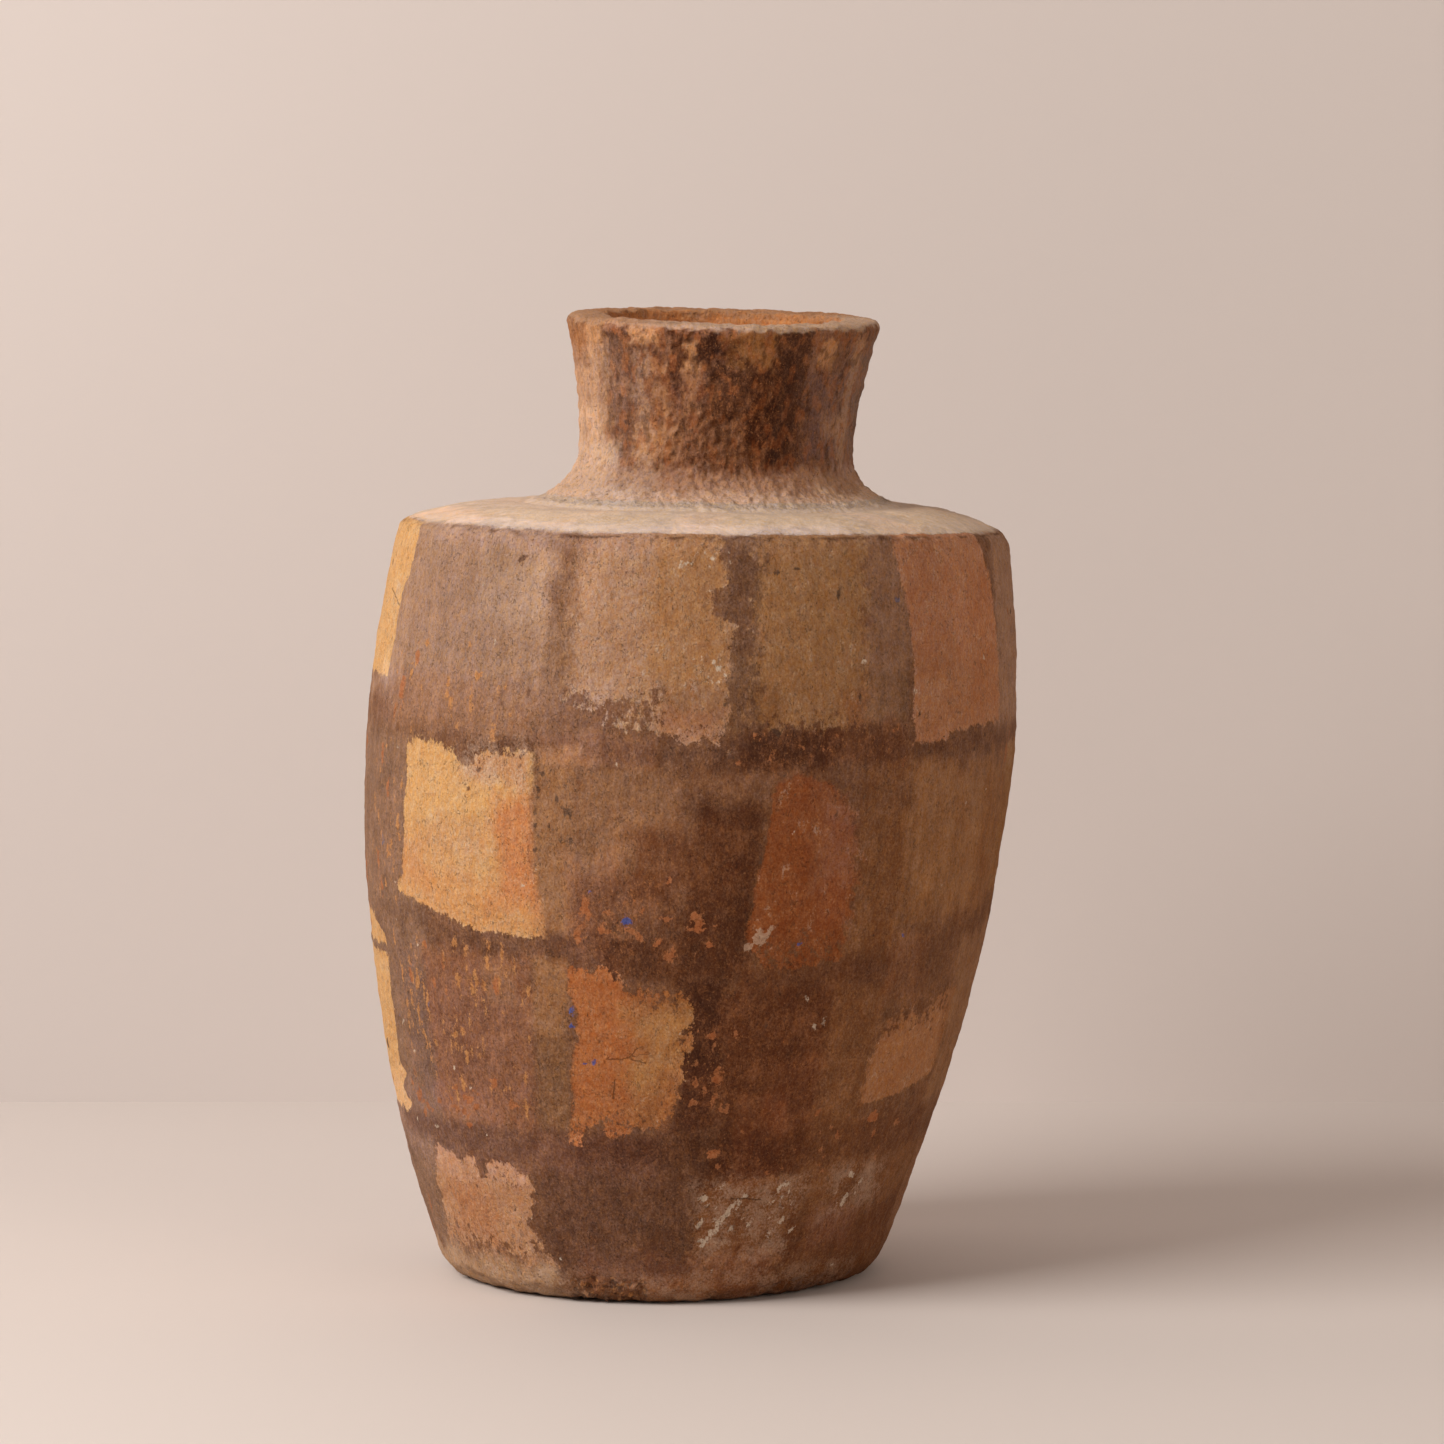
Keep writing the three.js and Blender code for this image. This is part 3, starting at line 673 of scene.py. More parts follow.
def paint_neck():
    """Streaked brown slip over orange clay on the neck, dusty at its root."""
    part = NECK_ROWS
    slip[part] = linear("neck brown")
    # Colour, angles, heights, how softly it ends in mm, and its strength
    repeat(wash_neck, [
        ("neck orange", (-130, -48), (386, 446), 4), ("neck tan", (-120, -52), (380, 432), 8, 0.8),
        ("dark mauve", (-52, -35), (388, 446), 2.5, 0.7), ("mauve", (-58, -50), (384, 436), 2, 0.5),
        ("neck tan", (-36, -28), (384, 436), 4, 0.45), ("neck orange", (-36, -14), (384, 402), 4, 0.5),
        ("neck orange", (-37, -23), (438, 452), 2), ("neck orange", (-28, -20), (425, 431), 2),
        ("dark slip", (-46, -39), (432, 446), 1.5, 0.9), ("neck orange", (-27, -20), (404, 422), 3, 0.6),
        ("red slip", (-20, -11), (424, 446), 2), ("neck orange", (-13.5, -7.5), (406, 443), 2, 0.8),
        ("warm brown", (-16, 16), (376, 406), 5, 0.8), ("night slip", (-10, -1), (431, 446), 2),
        ("neck ochre", (1, 22), (427, 446), 2.5, 0.85), ("black slip", (-5, 14), (404, 430), 4, 0.9),
        ("red slip", (12, 20), (392, 428), 3), ("night slip", (21, 38), (382, 448), 2.5, 0.85),
        ("neck orange", (41, 52), (429, 441), 2, 0.8), ("dark slip", (33, 40), (384, 424), 3, 0.7),
        ("warm slip", (47, 70), (384, 440), 4, 0.8), ("dark mauve", (38, 52), (384, 428), 3, 0.85),
        ("neck orange", (58, 70), (384, 444), 4, 0.4), ("mauve", (52, 70), (380, 430), 3, 0.5),
        ("dark mauve", (51, 62), (384, 447), 2, 0.75), ("neck orange", (42, 49), (430, 442), 1.5, 0.8),
        ("neck orange", (50, 66), (396, 405), 3, 0.45), ("umber", (71, 120), (384, 446), 4, 0.9),
        ("neck orange", (130, 215), (384, 446), 6, 0.6), ("night slip", (150, 160), (390, 446), 3, 0.8),
        ("night slip", (-150, -143), (384, 440), 3, 0.7)])
    blotch = rough_noise(plain[part] * SLANTED, 5, 4, 71)
    bare = rough_noise(plain[part] * SLANTED, 4.5, 4, 75)
    painted = 0.2 + 0.35 * smoothstep(-58, -44, ANGLE) * (1 - 0.7 * smoothstep(62, 80, ANGLE))
    blend(slip, part, "night slip", smoothstep(0.25, 0.45, blotch) * painted)
    blend(slip, part, "clay", smoothstep(0.2, 0.4, bare) * painted)
    repeat(wash_neck, [
        ("root dust", (-130, -46), (362, 392), 8, 0.9), ("root tan", (-50, 90), (362, 381), 5, 0.75),
        ("root dust", ALL_ROUND, (350, 371), 5, 0.85)])


def paint_lip():
    """The rubbed lip, browner at its back and left, and the bare clay inside."""
    part = LIP_ROWS
    rubbed = smoothstep(LIP_EDGE + 0.8, LIP_EDGE + 3.0, LEVEL[part] + 2.0 * fray[part])
    blend(slip, part, "lip", rubbed)
    browner = smoothstep(95, 125, np.abs(ANGLE)) * 0.85 + smoothstep(0, 45, -ANGLE) * 0.6
    blend(slip, part, "rim clay", np.minimum(browner * rubbed, 0.85))
    slip[at["mouth"] + 1:] = linear("inner clay")
    inside = smoothstep(MOUTH_RADIUS + 2.5, MOUTH_RADIUS - 0.5, RADIUS[part] + 2 * fray[part])
    blend(slip, part, "inner clay", inside)


def paint_marks():
    """Chips, splashes, lime and stray colour that the photograph shows, and more like them all round."""
    # Each dab: angle, height, size, how tall, and slant. Each scatter: colour, count, angles, heights,
    # sizes, how tall, seed, and slant
    dabs(WALL_ROWS, "clay", [
        (-58, 298, 1.6, 2), (-62.5, 281, 2.2, 3), (-64.5, 272, 1.2, 3), (-69, 250, 1.6, 3),
        (-66, 235, 1.5, 2.5), (-71, 201, 1.8, 3), (-69, 188, 1.8, 2), (3, 183, 2.8, 1.6),
        (-4, 175, 2.2, 0.8), (5, 173, 2.2, 0.8), (-2.5, 203, 1.2, 2), (-48, 158, 1, 3.5),
        (-51, 148, 1.1, 3), (-47.5, 145, 0.9, 3.5), (-35, 150, 1.6, 2.6), (-37, 105, 2.4, 1),
        (-45, 95, 3.4, 0.6), (-43, 91, 2.4, 0.7), (-58, 85, 1.8, 1.5), (-33, 95, 2.4, 0.8),
        (7, 131, 1.8, 1), (8.5, 111, 2, 3), (9.5, 75, 2.6, 0.8), (47, 85, 4, 0.7), (-17, 190, 2.6, 2),
        (-14, 180, 2, 1.4), (-18, 176, 2.4, 1), (-59, 150, 1.4, 3), (-53, 166, 1.2, 2), (-65, 96, 1.2, 2),
        (-46, 82, 2, 0.8)])
    dabs(WALL_ROWS, "lime", [
        (-42, 333, 0.8), (-1, 350, 0.9), (-2.5, 346, 0.9), (2, 348, 1.2, 0.6), (1.5, 334, 0.8),
        (4, 299, 1.4, 1.2), (3, 302, 0.9), (5, 296, 0.9), (30.5, 300, 1, 1.6), (42.5, 285, 1),
        (42.2, 279, 0.7), (64, 296, 0.8), (-64, 191, 1), (-29, 198, 1.0, 0.7), (-27, 200, 0.6),
        (-51, 221, 0.8), (-44, 218, 1), (-55.7, 164.5, 0.8), (-62, 159.5, 0.8), (-58, 129, 0.8),
        (-65, 126, 0.8), (-61.5, 113.5, 0.9), (-48, 108.5, 0.8), (-43.7, 100, 1), (-66, 79, 0.9),
        (-57.5, 78.5, 0.9), (-52.5, 82, 0.7), (24.5, 147, 0.6, 4, -0.2), (27, 133, 0.8, 1.5),
        (29, 135, 0.7, 2), (8.5, 53, 2.2, 0.8), (14, 44, 1.4, 4, 0.5), (9.5, 31, 2.2, 0.8),
        (11, 35, 1.2, 2), (18, 53, 0.9), (28.5, 53, 0.8, 2), (45.5, 57, 1.8), (46, 47, 1.5, 1.4),
        (49, 13, 1.2), (12.5, 40, 1.2, 1.5)])
    dabs(WALL_ROWS, "light mauve", [(14.4, 176, 3.6, 0.9), (12.2, 172, 2.4, 0.6), (16, 180, 1.8)])
    dabs(WALL_ROWS, "dark slip", [
        (-34, 346, 2.2, 1.3), (-29.5, 287, 1, 3), (-30.5, 252, 1.6, 1.2), (-41, 240, 1.1),
        (-39, 250, 1.8, 0.8), (-31, 256, 1.4), (-43, 63, 1.4, 2.4), (-36, 43, 1)])
    dabs(WALL_ROWS, "flake", [
        (13.5, 342, 1.4, 0.8), (17.5, 343, 1.2, 0.6), (25.5, 332, 0.8, 2), (30, 285, 0.7, 3),
        (14.5, 270, 1.8), (13.2, 212, 0.8, 3), (10, 48.5, 1.2), (27.5, 47, 1), (5.5, 283, 0.8, 2),
        (16, 250, 1.2), (7, 259, 1.2, 0.8)])
    for spots in [
            ("flake", 26, (-27, -20), (212, 252), (0.5, 1.4), (0.8, 2.4), 63),
            ("flake", 14, (38, 70), (254, 264), (0.6, 1.4), (0.4, 1), 66),
            ("amber", 110, (-66, -28), (92, 168), (0.35, 1.2), (1.5, 6), 67),
            ("rust", 26, (-64, -38), (84, 104), (0.6, 2.4), (0.5, 1.4), 68),
            ("rust", 24, (-21, 6), (168, 192), (0.6, 2.6), (0.5, 1.4), 69),
            ("amber", 34, (-74, -60), (184, 262), (0.5, 1.2), (1, 4), 70),
            ("amber", 36, (-66, -30), (264, 306), (0.5, 1.3), (1, 4), 71),
            ("rust", 20, (8, 42), (252, 272), (0.5, 1.5), (0.6, 1.6), 72),
            ("rust", 16, (4, 12), (92, 140), (0.6, 1.8), (0.8, 3), 73),
            ("rust", 26, (10, 60), (62, 92), (0.5, 1.4), (0.6, 1.6), 74),
            ("lime", 22, (8, 32), (28, 58), (0.4, 1.3), (0.5, 2.2), 75, 0.5),
            ("lime", 8, (40, 50), (40, 60), (0.4, 1.1), (0.6, 1.6), 76),
            ("lime", 12, (-2, 6), (292, 306), (0.35, 0.8), (0.6, 1.6), 77),
            ("lime", 12, (-5, 6), (340, 352), (0.35, 0.8), (0.5, 1.2), 78)]:
        scatter(WALL_ROWS, *spots)
    dabs(WALL_ROWS, "blue", [
        (-9.5, 184, 2.2, 1.2), (-16, 197, 0.8), (-16.7, 188, 0.8), (22, 172, 1.5, 0.7),
        (-19.3, 142, 1.3, 1.8), (-19.5, 134, 1.4, 0.7), (-17, 116.5, 1.1, 0.6), (-15, 118, 1.3),
        (45, 172, 0.8), (-67, 128, 0.8)])
    dabs(WALL_ROWS, "grey blue", [(-68, 210, 1.4, 2), (-53.5, 137, 1.1, 1.4), (38, 327, 1.3, 1.4)])
    dabs(NECK_ROWS, "grey blue", [
        (-52, 437, 1.3), (-45, 425, 1.5), (-38, 403, 2.2, 1.1), (-60, 397, 1.8, 1.6)])
    dabs(NECK_ROWS, "lime", [(24, 397, 0.8, 2.4)])
    for spots in [
            ("clay", 26, (-34, -4), (368, 380), (0.6, 1.8), (0.5, 1.2), 79),
            ("flake", 40, (-60, 70), (367, 384), (0.5, 1.4), (0.4, 1), 80),
            ("flake", 16, (-36, -10), (440, 449), (0.5, 1.3), (0.6, 1.4), 81)]:
        scatter(NECK_ROWS, *spots)
    for spots in [
            ("night slip", 120, (-23, -3), (0, 12), (0.4, 1.3), (0.6, 1.6), 87),
            ("amber", 50, (-22, -4), (1, 13), (0.4, 1.2), (0.6, 1.6), 88),
            ("night slip", 26, (30, 62), (0, 9), (0.6, 2.2), (0.6, 1.2), 89),
            ("rust", 150, (75, 290), (20, 345), (0.8, 2.4), (0.8, 3.5), 82),
            ("flake", 130, (75, 290), (20, 345), (0.5, 1.6), (0.5, 2), 83),
            ("lime", 90, (-180, 180), (15, 345), (0.3, 0.7), (0.7, 1.4), 84),
            ("flake", 130, (-180, 180), (15, 345), (0.3, 0.9), (0.7, 2.5), 85),
            ("blue", 9, (95, 265), (40, 330), (0.8, 1.6), (0.7, 1.3), 86)]:
        scatter(WALL_ROWS, *spots)
    for points in (
            [(-13, 119), (-8.5, 119.5), (-6.5, 126)], [(-8.5, 119.5), (-5, 117.5)],
            [(-11, 110), (-11.4, 100)], [(-77, 325), (-69.5, 318)], [(14.5, 52), (18, 51.5), (22, 50.5)]):
        crack_line(points)


def spread_dust_and_wear():
    """Where the squares have flaked, where dust lies, and where the slip is worn enough to show the clay."""
    # Angles, heights, amount, and how softly it ends in mm
    for box in [
            ((-30, -4), (258, 290), 1.0, 9), ((-6, 8), (260, 278), 0.8, 6), ((8, 34), (266, 280), 0.7, 6),
            ((10, 33), (156, 176), 0.8, 6), ((-9, 5), (144, 162), 0.9, 6), ((-22, 6), (76, 96), 0.8, 6),
            ((-3, 6), (90, 150), 0.6, 4), ((42, 70), (122, 145), 0.8, 7), ((-66, -26), (16, 34), 0.8, 8),
            ((-50, -28), (52, 70), 0.6, 5), ((5, 34), (18, 64), 0.5, 8), ((-46, -34), (246, 262), 0.6, 4),
            ((75, 285), (10, 350), 0.35, 10)]:
        spread(loss, *box)
    for box in [
            ((-67, -25), (290, 352), 0.6), ((-66, -30), (86, 165), 0.8), ((-75, -60), (185, 255), 0.75),
            ((-64, -38), (262, 296), 0.8), ((-21, -4), (168, 205), 0.9), ((10, 42), (250, 275), 0.8),
            ((4, 12), (95, 140), 0.8), ((9, 34), (62, 150), 0.65), ((95, 270), (20, 345), 0.6)]:
        spread(wear, *box)
    for box in [
            ((-50, 60), (-5, 16), 0.2, 4), ((6, 32), (24, 60), 0.3), ((40, 60), (40, 62), 0.3),
            ((-42, -28), (244, 262), 0.4)]:
        spread(dust, *box)
    on_top = smoothstep(0, 5, DUST_RADIUS - RADIUS) * (RADIUS > ROOT_RADIUS - 4) * over_ridge
    in_neck = smoothstep(ROOT - 1, ROOT + 12, LEVEL) * (np.arange(SHAPE[0]) <= at["mouth"])[:, None]
    dust[:] = np.maximum(dust, 0.4 * on_top)
    for field, top_amount, neck_amount in ((wear, 0.1, 0.9), (grit, 0.12, 0.9)):
        for share, amount in ((on_top, top_amount), (in_neck, neck_amount)):
            field[:] = field * (1 - share) + amount * share
    spread(grit, ALL_ROUND, (-12, 9), 0.9, 4)


paint_wall_slip()
paint_front_squares()
paint_back_squares()
paint_neck()
paint_lip()
paint_top()
paint_marks()
spread_dust_and_wear()
tinge_and_shade_front()
slip *= (1 + STREAK_TONE * streaks * (LEVEL < ROOT) + WANDER_TONE * wander)[..., None]

# Relief, in mm outwards: hand lumps as (height, cell, seed), scraping, grain, a fuller left and hollower
# right side of the low wall, the thickness of the slip, and wear
HAND_LUMPS = [(0.6, 75, 1), (0.4, 30, 2), (0.35, 12, 3)]
SUNK, SCRAPED, GRAINY, SQUARE_SUNK = 0.5, 0.2, 0.35, 0.25
LEFT_SWELL, RIGHT_HOLLOW, NECK_SWELL, RIDGE_WEAR = 1.0, 1.1, 0.7, 2.2
OUT = slice(0, at["mouth"] + 1)
LOW_WALL = smoothstep(10, 60, LEVEL) * (1 - smoothstep(190, 260, LEVEL))
relief = sum(height * noise(plain, cell, seed) for height, cell, seed in HAND_LUMPS) - SUNK
relief += SCRAPED * noise(plain * UPRIGHT, 13, 4)
relief[OUT] += GRAINY * rough_noise(plain[OUT], 6, 3, 5) * (0.4 + grit[OUT])
for side, swell in ((-ANGLE, LEFT_SWELL), (ANGLE, -RIGHT_HOLLOW)):
    relief += LOW_WALL * swell * smoothstep(25, 80, side) * (1 - smoothstep(110, 150, side))
relief[OUT] -= SQUARE_SUNK * smoothstep(-1.2, 1.0, square_edge[OUT])


def rough_patch(part, angles, heights, depth, cell, seed, feather=4.0):
    """Lowers a part in a soft box by a rough surface up to about that depth."""
    share = soft_box(part, LEVELS, angles, heights, feather)
    relief[part] -= share * depth * (0.5 + 0.9 * rough_noise(plain[part], cell, 2, seed))


def pit(part, angle, level, size, depth):
    window = near_rows(part, level, size + PIT_MARGIN)
    relief[window] -= depth * (1 - smoothstep(0.3 * size, size, spot_distance(window, angle, level, 1.0)))


def work_surface():
    """Crumbled patches and pits, a fuller right side of the neck and a worn right end of the ridge."""
    # Part, angles, heights, depth, cell, seed, and how softly it ends in mm
    repeat(rough_patch, [
        (WALL_ROWS, (-22, -4), (0, 13), 2.2, 4, 41, 3), (WALL_ROWS, ALL_ROUND, (-2, 7), 1.1, 14, 42, 3),
        (WALL_ROWS, (24, 50), (2, 11), 1.2, 6, 43, 3), (WALL_ROWS, ALL_ROUND, (347, 356), 0.5, 8, 44, 2),
        (NECK_ROWS, ALL_ROUND, (364, 384), 1.2, 4.5, 45, 4),
        (NECK_ROWS, (-40, -8), (434, 448), 1.0, 4, 46, 2),
        (NECK_ROWS, ALL_ROUND, (446, 452), 0.6, 6, 47, 1),
        (NECK_ROWS, ALL_ROUND, (384, 446), 0.55, 5, 48, 4),
        (NECK_ROWS, (-24, 18), (374, 410), 1.5, 4, 49, 5)])
    chance = np.random.default_rng(53)
    for part, count, heights, sizes, depths in (
            (WALL_ROWS, 420, (6, 346), (1.3, 2.6), (0.2, 0.6)),
            (NECK_ROWS, 90, (370, 444), (1.0, 2.0), (0.2, 0.5))):
        for _ in range(count):
            pit(part, chance.uniform(-180, 180), chance.uniform(*heights), chance.uniform(*sizes),
                chance.uniform(*depths))
    relief[NECK_ROWS] += NECK_SWELL * soft_box(NECK_ROWS, LEVELS, (50, 130), (362, 450), 8)
    worn = RIDGE_WEAR * smoothstep(38, 80, ANGLE) * (1 - smoothstep(130, 165, ANGLE))
    on_ridge = np.exp(-((LEVEL[OUT] - RIDGE) / 5.0) ** 2) * (RADIUS[OUT] > ROOT_RADIUS + 30)
    relief[OUT] -= worn * on_ridge


work_surface()
skin = settle(plain + plain_normal * relief[..., None])
skin = np.clip(skin, np.array(cad_box[0]) / MM, np.array(cad_box[1]) / MM)
skin_normal = normals_of(skin)

FIELDS = {
    "slip": slip, "square": square, "square_edge": square_edge, "square_fray": square_fray,
    "square_soft": square_soft, "mark": mark, "mark_edge": mark_edge, "crack": crack, "loss": loss,
    "dust": dust, "wear": wear, "grit": grit,
}


def bed(start, end):
    """Two rows of a bed between its end rows: flat thirds joined by a slope."""
    first_bend, last_bend = start + (end - start) / 3, end + (start - end) / 3
    first_bend[..., 2], last_bend[..., 2] = start[..., 2], end[..., 2]
    return np.stack([first_bend, last_bend])


def corners(values, lower, upper):
    """Values at the four corners of each cell between rows, in the order of its face's corners."""
    low, high = values[lower], values[upper]
    return np.stack([low, np.roll(low, -1, axis=1), np.roll(high, -1, axis=1), high], axis=2)


def flat_normals(points, lower, upper):
    """One normal for each cell between rows, at its four corners."""
    around = np.roll(points[lower], -1, axis=1) - points[lower]
    normal = np.cross(around, points[upper] - points[lower])
    normal /= np.maximum(np.linalg.norm(normal, axis=-1, keepdims=True), 1e-12)
    return np.repeat(normal[:, :, None], 4, axis=2)


def chart(points, bottom, top, parts):
    """Texture places of the cells of a run of rows, cut into equal parts stacked on each other."""
    steps = np.linalg.norm(np.diff(points[:, 0], axis=0), axis=-1)
    rise = np.concatenate([[0], np.cumsum(steps)]) / steps.sum()
    column = np.arange(COLUMNS)
    part = column * parts // COLUMNS
    left = (column * parts / COLUMNS - part) * (1 - 2 * CHART_GAP) + CHART_GAP
    right = left + parts / COLUMNS * (1 - 2 * CHART_GAP)
    height = (top - bottom) / parts
    base = bottom + part * height + CHART_GAP
    places = np.empty((len(steps), COLUMNS, 4, 2))
    places[..., 0] = np.stack([left, right, right, left], axis=1)
    for corner, level in enumerate((rise[:-1], rise[:-1], rise[1:], rise[1:])):
        places[..., corner, 1] = base[None, :] + level[:, None] * (height - 2 * CHART_GAP)
    return places


def hold(mesh, name, values):
    """Stores values of every point in the mesh, as a colour if there are three."""
    if values.ndim == 3:
        opaque = np.ones(values.shape[:2] + (1,), np.float32)
        held = mesh.attributes.new(name, "FLOAT_COLOR", "POINT")
        held.data.foreach_set("color", np.concatenate([values, opaque], axis=2).ravel())
    else:
        held = mesh.attributes.new(name, "FLOAT", "POINT")
        held.data.foreach_set("value", values.astype(np.float32).ravel())


def piece_runs(outer, inner):
    """The runs of rows round a piece, as points, their rows in the skin and chart: outside, a bed, inside
    and a bed again. A piece without inner rows closes with one bed. The slab's rows end in two caps."""
    outer_rows = list(range(at[outer[0]], at[outer[1]] + 1))
    inner_rows = list(range(at[inner[0]], at[inner[1]] + 1)) if inner else []
    runs = [(skin[outer_rows], outer_rows, OUTER_CHART)]
    if inner_rows:
        top_bed = bed(skin[outer_rows[-1]], skin[inner_rows[0]])
        runs += [(top_bed, [outer_rows[-1]] * 2, TOP_CHART), (skin[inner_rows], inner_rows, INNER_CHART)]
    last = (inner_rows or outer_rows)[-1]
    capped = profile_radius[last] < 1
    if not capped:
        bottom_bed = bed(skin[last], skin[outer_rows[0]]) + np.array([0, 0, SLIP_FILM])
        runs.append((bottom_bed, [outer_rows[0]] * 2, BOTTOM_CHART))
    return runs, capped


def lay_bands(points, runs, lower, upper):
    """Normals and texture places at the corners of the faces between rows."""
    normals = flat_normals(points, lower, upper)
    places = np.zeros((len(lower), COLUMNS, 4, 2))
    start = 0
    for _, run_rows, (bottom, top, parts) in runs:
        count = len(run_rows)
        is_skin = count > 2
        first = start if is_skin else start - 1
        bands = np.arange(first, start + count - 1 if is_skin else start + count)
        if is_skin:
            normals[bands] = corners(skin_normal[run_rows], bands - start, bands - start + 1)
        span = points[np.append(bands, bands[-1] + 1) % len(points)]
        places[bands] = chart(span, bottom, top, parts)
        start += count
    return normals.reshape(-1, 3), places.reshape(-1, 2)


def add_caps(loops, starts, normals, places, first_row, last_row):
    """Closes the small holes in the middle of the slab, below and above."""
    angle = np.linspace(0, 2 * np.pi, COLUMNS, endpoint=False)
    for cap, way, middle in ((first_row[::-1], -1, CAP_MIDDLES[0]), (last_row, 1, CAP_MIDDLES[1])):
        starts = np.append(starts, len(loops))
        loops = np.append(loops, cap)
        normals = np.concatenate([normals, np.tile([0.0, 0.0, way], (COLUMNS, 1))])
        round_cap = [middle + CAP_SIZE * np.cos(way * angle), CAP_LEVEL + CAP_SIZE * np.sin(way * angle)]
        places = np.concatenate([places, np.stack(round_cap, axis=1)])
    return loops, starts, normals, places


def make_mesh(name, points, loops, starts, normals, places):
    mesh = bpy.data.meshes.new(name)
    mesh.vertices.add(points.size // 3)
    mesh.vertices.foreach_set("co", (points * MM).astype(np.float32).ravel())
    mesh.loops.add(len(loops))
    mesh.loops.foreach_set("vertex_index", loops.astype(np.int32))
    mesh.polygons.add(len(starts))
    mesh.polygons.foreach_set("loop_start", starts.astype(np.int32))
    mesh.update(calc_edges=True)
    mesh.uv_layers.new(name="OFBake").uv.foreach_set("vector", places.astype(np.float32).ravel())
    mesh.normals_split_custom_set(normals)
    return mesh


def make_piece(name, outer, inner, slot_name):
    """A closed piece of the jar, cut from the skin."""
    runs, capped = piece_runs(outer, inner)
    points = np.concatenate([run[0] for run in runs])
    source = sum((run[1] for run in runs), [])
    row_count = len(points)
    lower = np.arange(row_count - 1 if capped else row_count)
    upper = (lower + 1) % row_count
    index = np.arange(row_count * COLUMNS).reshape(row_count, COLUMNS)
    loops = corners(index, lower, upper).ravel()
    faces = (loops, np.arange(0, loops.size, 4), *lay_bands(points, runs, lower, upper))
    if capped:
        faces = add_caps(*faces, index[0], index[-1])
    mesh = make_mesh(name, points, *faces)
    for field, values in FIELDS.items():
        hold(mesh, field, values[source])
    mesh.materials.append(MATERIALS[slot_name])
    piece = bpy.data.objects.new(name, mesh)
    bpy.context.collection.objects.link(piece)
    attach(piece, "root")
    return piece


# Noises of the clay: cell in mm, detail, how far stretched upright, roughness and turn in degrees
NOISES = {
    "brushed": (2.2, 4, 3.5), "cast": (1.7, 6, 2.0, 0.75), "grain": (1.0, 6, 1.2, 0.75),
    "lumps": (4.6, 5, 1, 0.6), "mottle": (13, 6, 1, 0.65), "flake": (3.2, 6, 1.3, 0.75),
    "speck": (0.8, 3, 1.7, 0.6), "scratch": (1.0, 2, 7, 0.5, 38), "dash": (1.5, 2, 2.6),
    "vein": (7, 4, 1.5, 0.6),
}


class Shading:
    """Builds the nodes of one material. A value is a number, a colour, a socket, or the name of a noise
    or of a field held in the mesh."""

    def __init__(self, name):
        self.material = bpy.data.materials.new(name)
        self.material.use_nodes = True
        self.tree = self.material.node_tree
        self.shader = self.tree.nodes["Principled BSDF"]
        self.place = self.node("ShaderNodeTexCoord").outputs["Object"]
        self.known = {}

    def named(self, name):
        """The socket of a noise or a field, made when it is first used."""
        if name not in self.known and name in NOISES:
            self.known[name] = self.noise(*NOISES[name])
        elif name not in self.known:
            output = "Color" if FIELDS[name].ndim == 3 else "Fac"
            self.known[name] = self.node("ShaderNodeAttribute", attribute_name=name).outputs[output]
        return self.known[name]

    def node(self, kind, inputs=(), **settings):
        made = self.tree.nodes.new(kind)
        for name, value in settings.items():
            setattr(made, name, value)
        for name, value in dict(inputs).items():
            self.feed(value, made.inputs[name])
        return made

    def feed(self, value, socket):
        value = self.named(value) if isinstance(value, str) else value
        if isinstance(value, bpy.types.NodeSocket):
            self.tree.links.new(value, socket)
        elif value is not None:
            socket.default_value = value[:3] if socket.type == "VECTOR" else value

    def calculate(self, operation, a, b=None, c=None):
        return self.node("ShaderNodeMath", {0: a, 1: b, 2: c}, operation=operation).outputs[0]

    def times(self, a, b):
        return self.calculate("MULTIPLY", a, b)

    def less(self, a, b):
        return self.calculate("SUBTRACT", a, b)

    def line(self, value, slope, start):
        return self.calculate("MULTIPLY_ADD", value, slope, start)

    def total(self, start, **weights):
        """start plus each weight times how far its noise is from the middle."""
        for name, weight in weights.items():
            start = self.calculate("ADD", start, self.line(name, weight, -weight / 2))
        return start

    def step(self, value, low, high, reach=1.0):
        inputs = {"Value": value, "From Min": low, "From Max": high, "To Max": reach}
        return self.node("ShaderNodeMapRange", inputs, interpolation_type="SMOOTHSTEP").outputs[0]

    def noise(self, cell, detail, stretch, roughness=0.55, degrees=0):
        """Noise in the place, turned about the axis that runs from front to back."""
        place = self.place
        if degrees:
            turning = {"Vector": place, "Rotation": (0, math.radians(degrees), 0)}
            place = self.node("ShaderNodeMapping", turning).outputs[0]
        scale = 1 / (cell * MM)
        stretched = self.node("ShaderNodeVectorMath", {0: place, 1: (scale, scale, scale / stretch)},
                              operation="MULTIPLY").outputs[0]
        inputs = {"Vector": stretched, "Scale": 1.0, "Detail": detail, "Roughness": roughness}
        return self.node("ShaderNodeTexNoise", inputs).outputs["Fac"]

    def mix(self, share, a, b):
        inputs = {"Factor": share, 6: a, 7: b}
        return self.node("ShaderNodeMix", inputs, data_type="RGBA").outputs[2]

    def shade(self, colour, factor):
        return self.node("ShaderNodeVectorMath", {0: colour, "Scale": factor}, operation="SCALE").outputs[0]

    def tinted(self, colour, tint):
        return self.node("ShaderNodeVectorMath", {0: colour, 1: tint}, operation="MULTIPLY").outputs[0]

    def tone(self, colour, **weights):
        """The colour, paler where the noises are high, darker and richer where they are low."""
        power = self.total(1.0, **{name: -weight for name, weight in weights.items()})
        return self.node("ShaderNodeGamma", {"Color": colour, "Gamma": power}).outputs[0]


# How much the colours are raised for the light that the rough surface takes away, and how deep the
# finest relief is, in mm
GAIN, BUMP_DEPTH, SHINE = 0.98, 0.8, 0.15

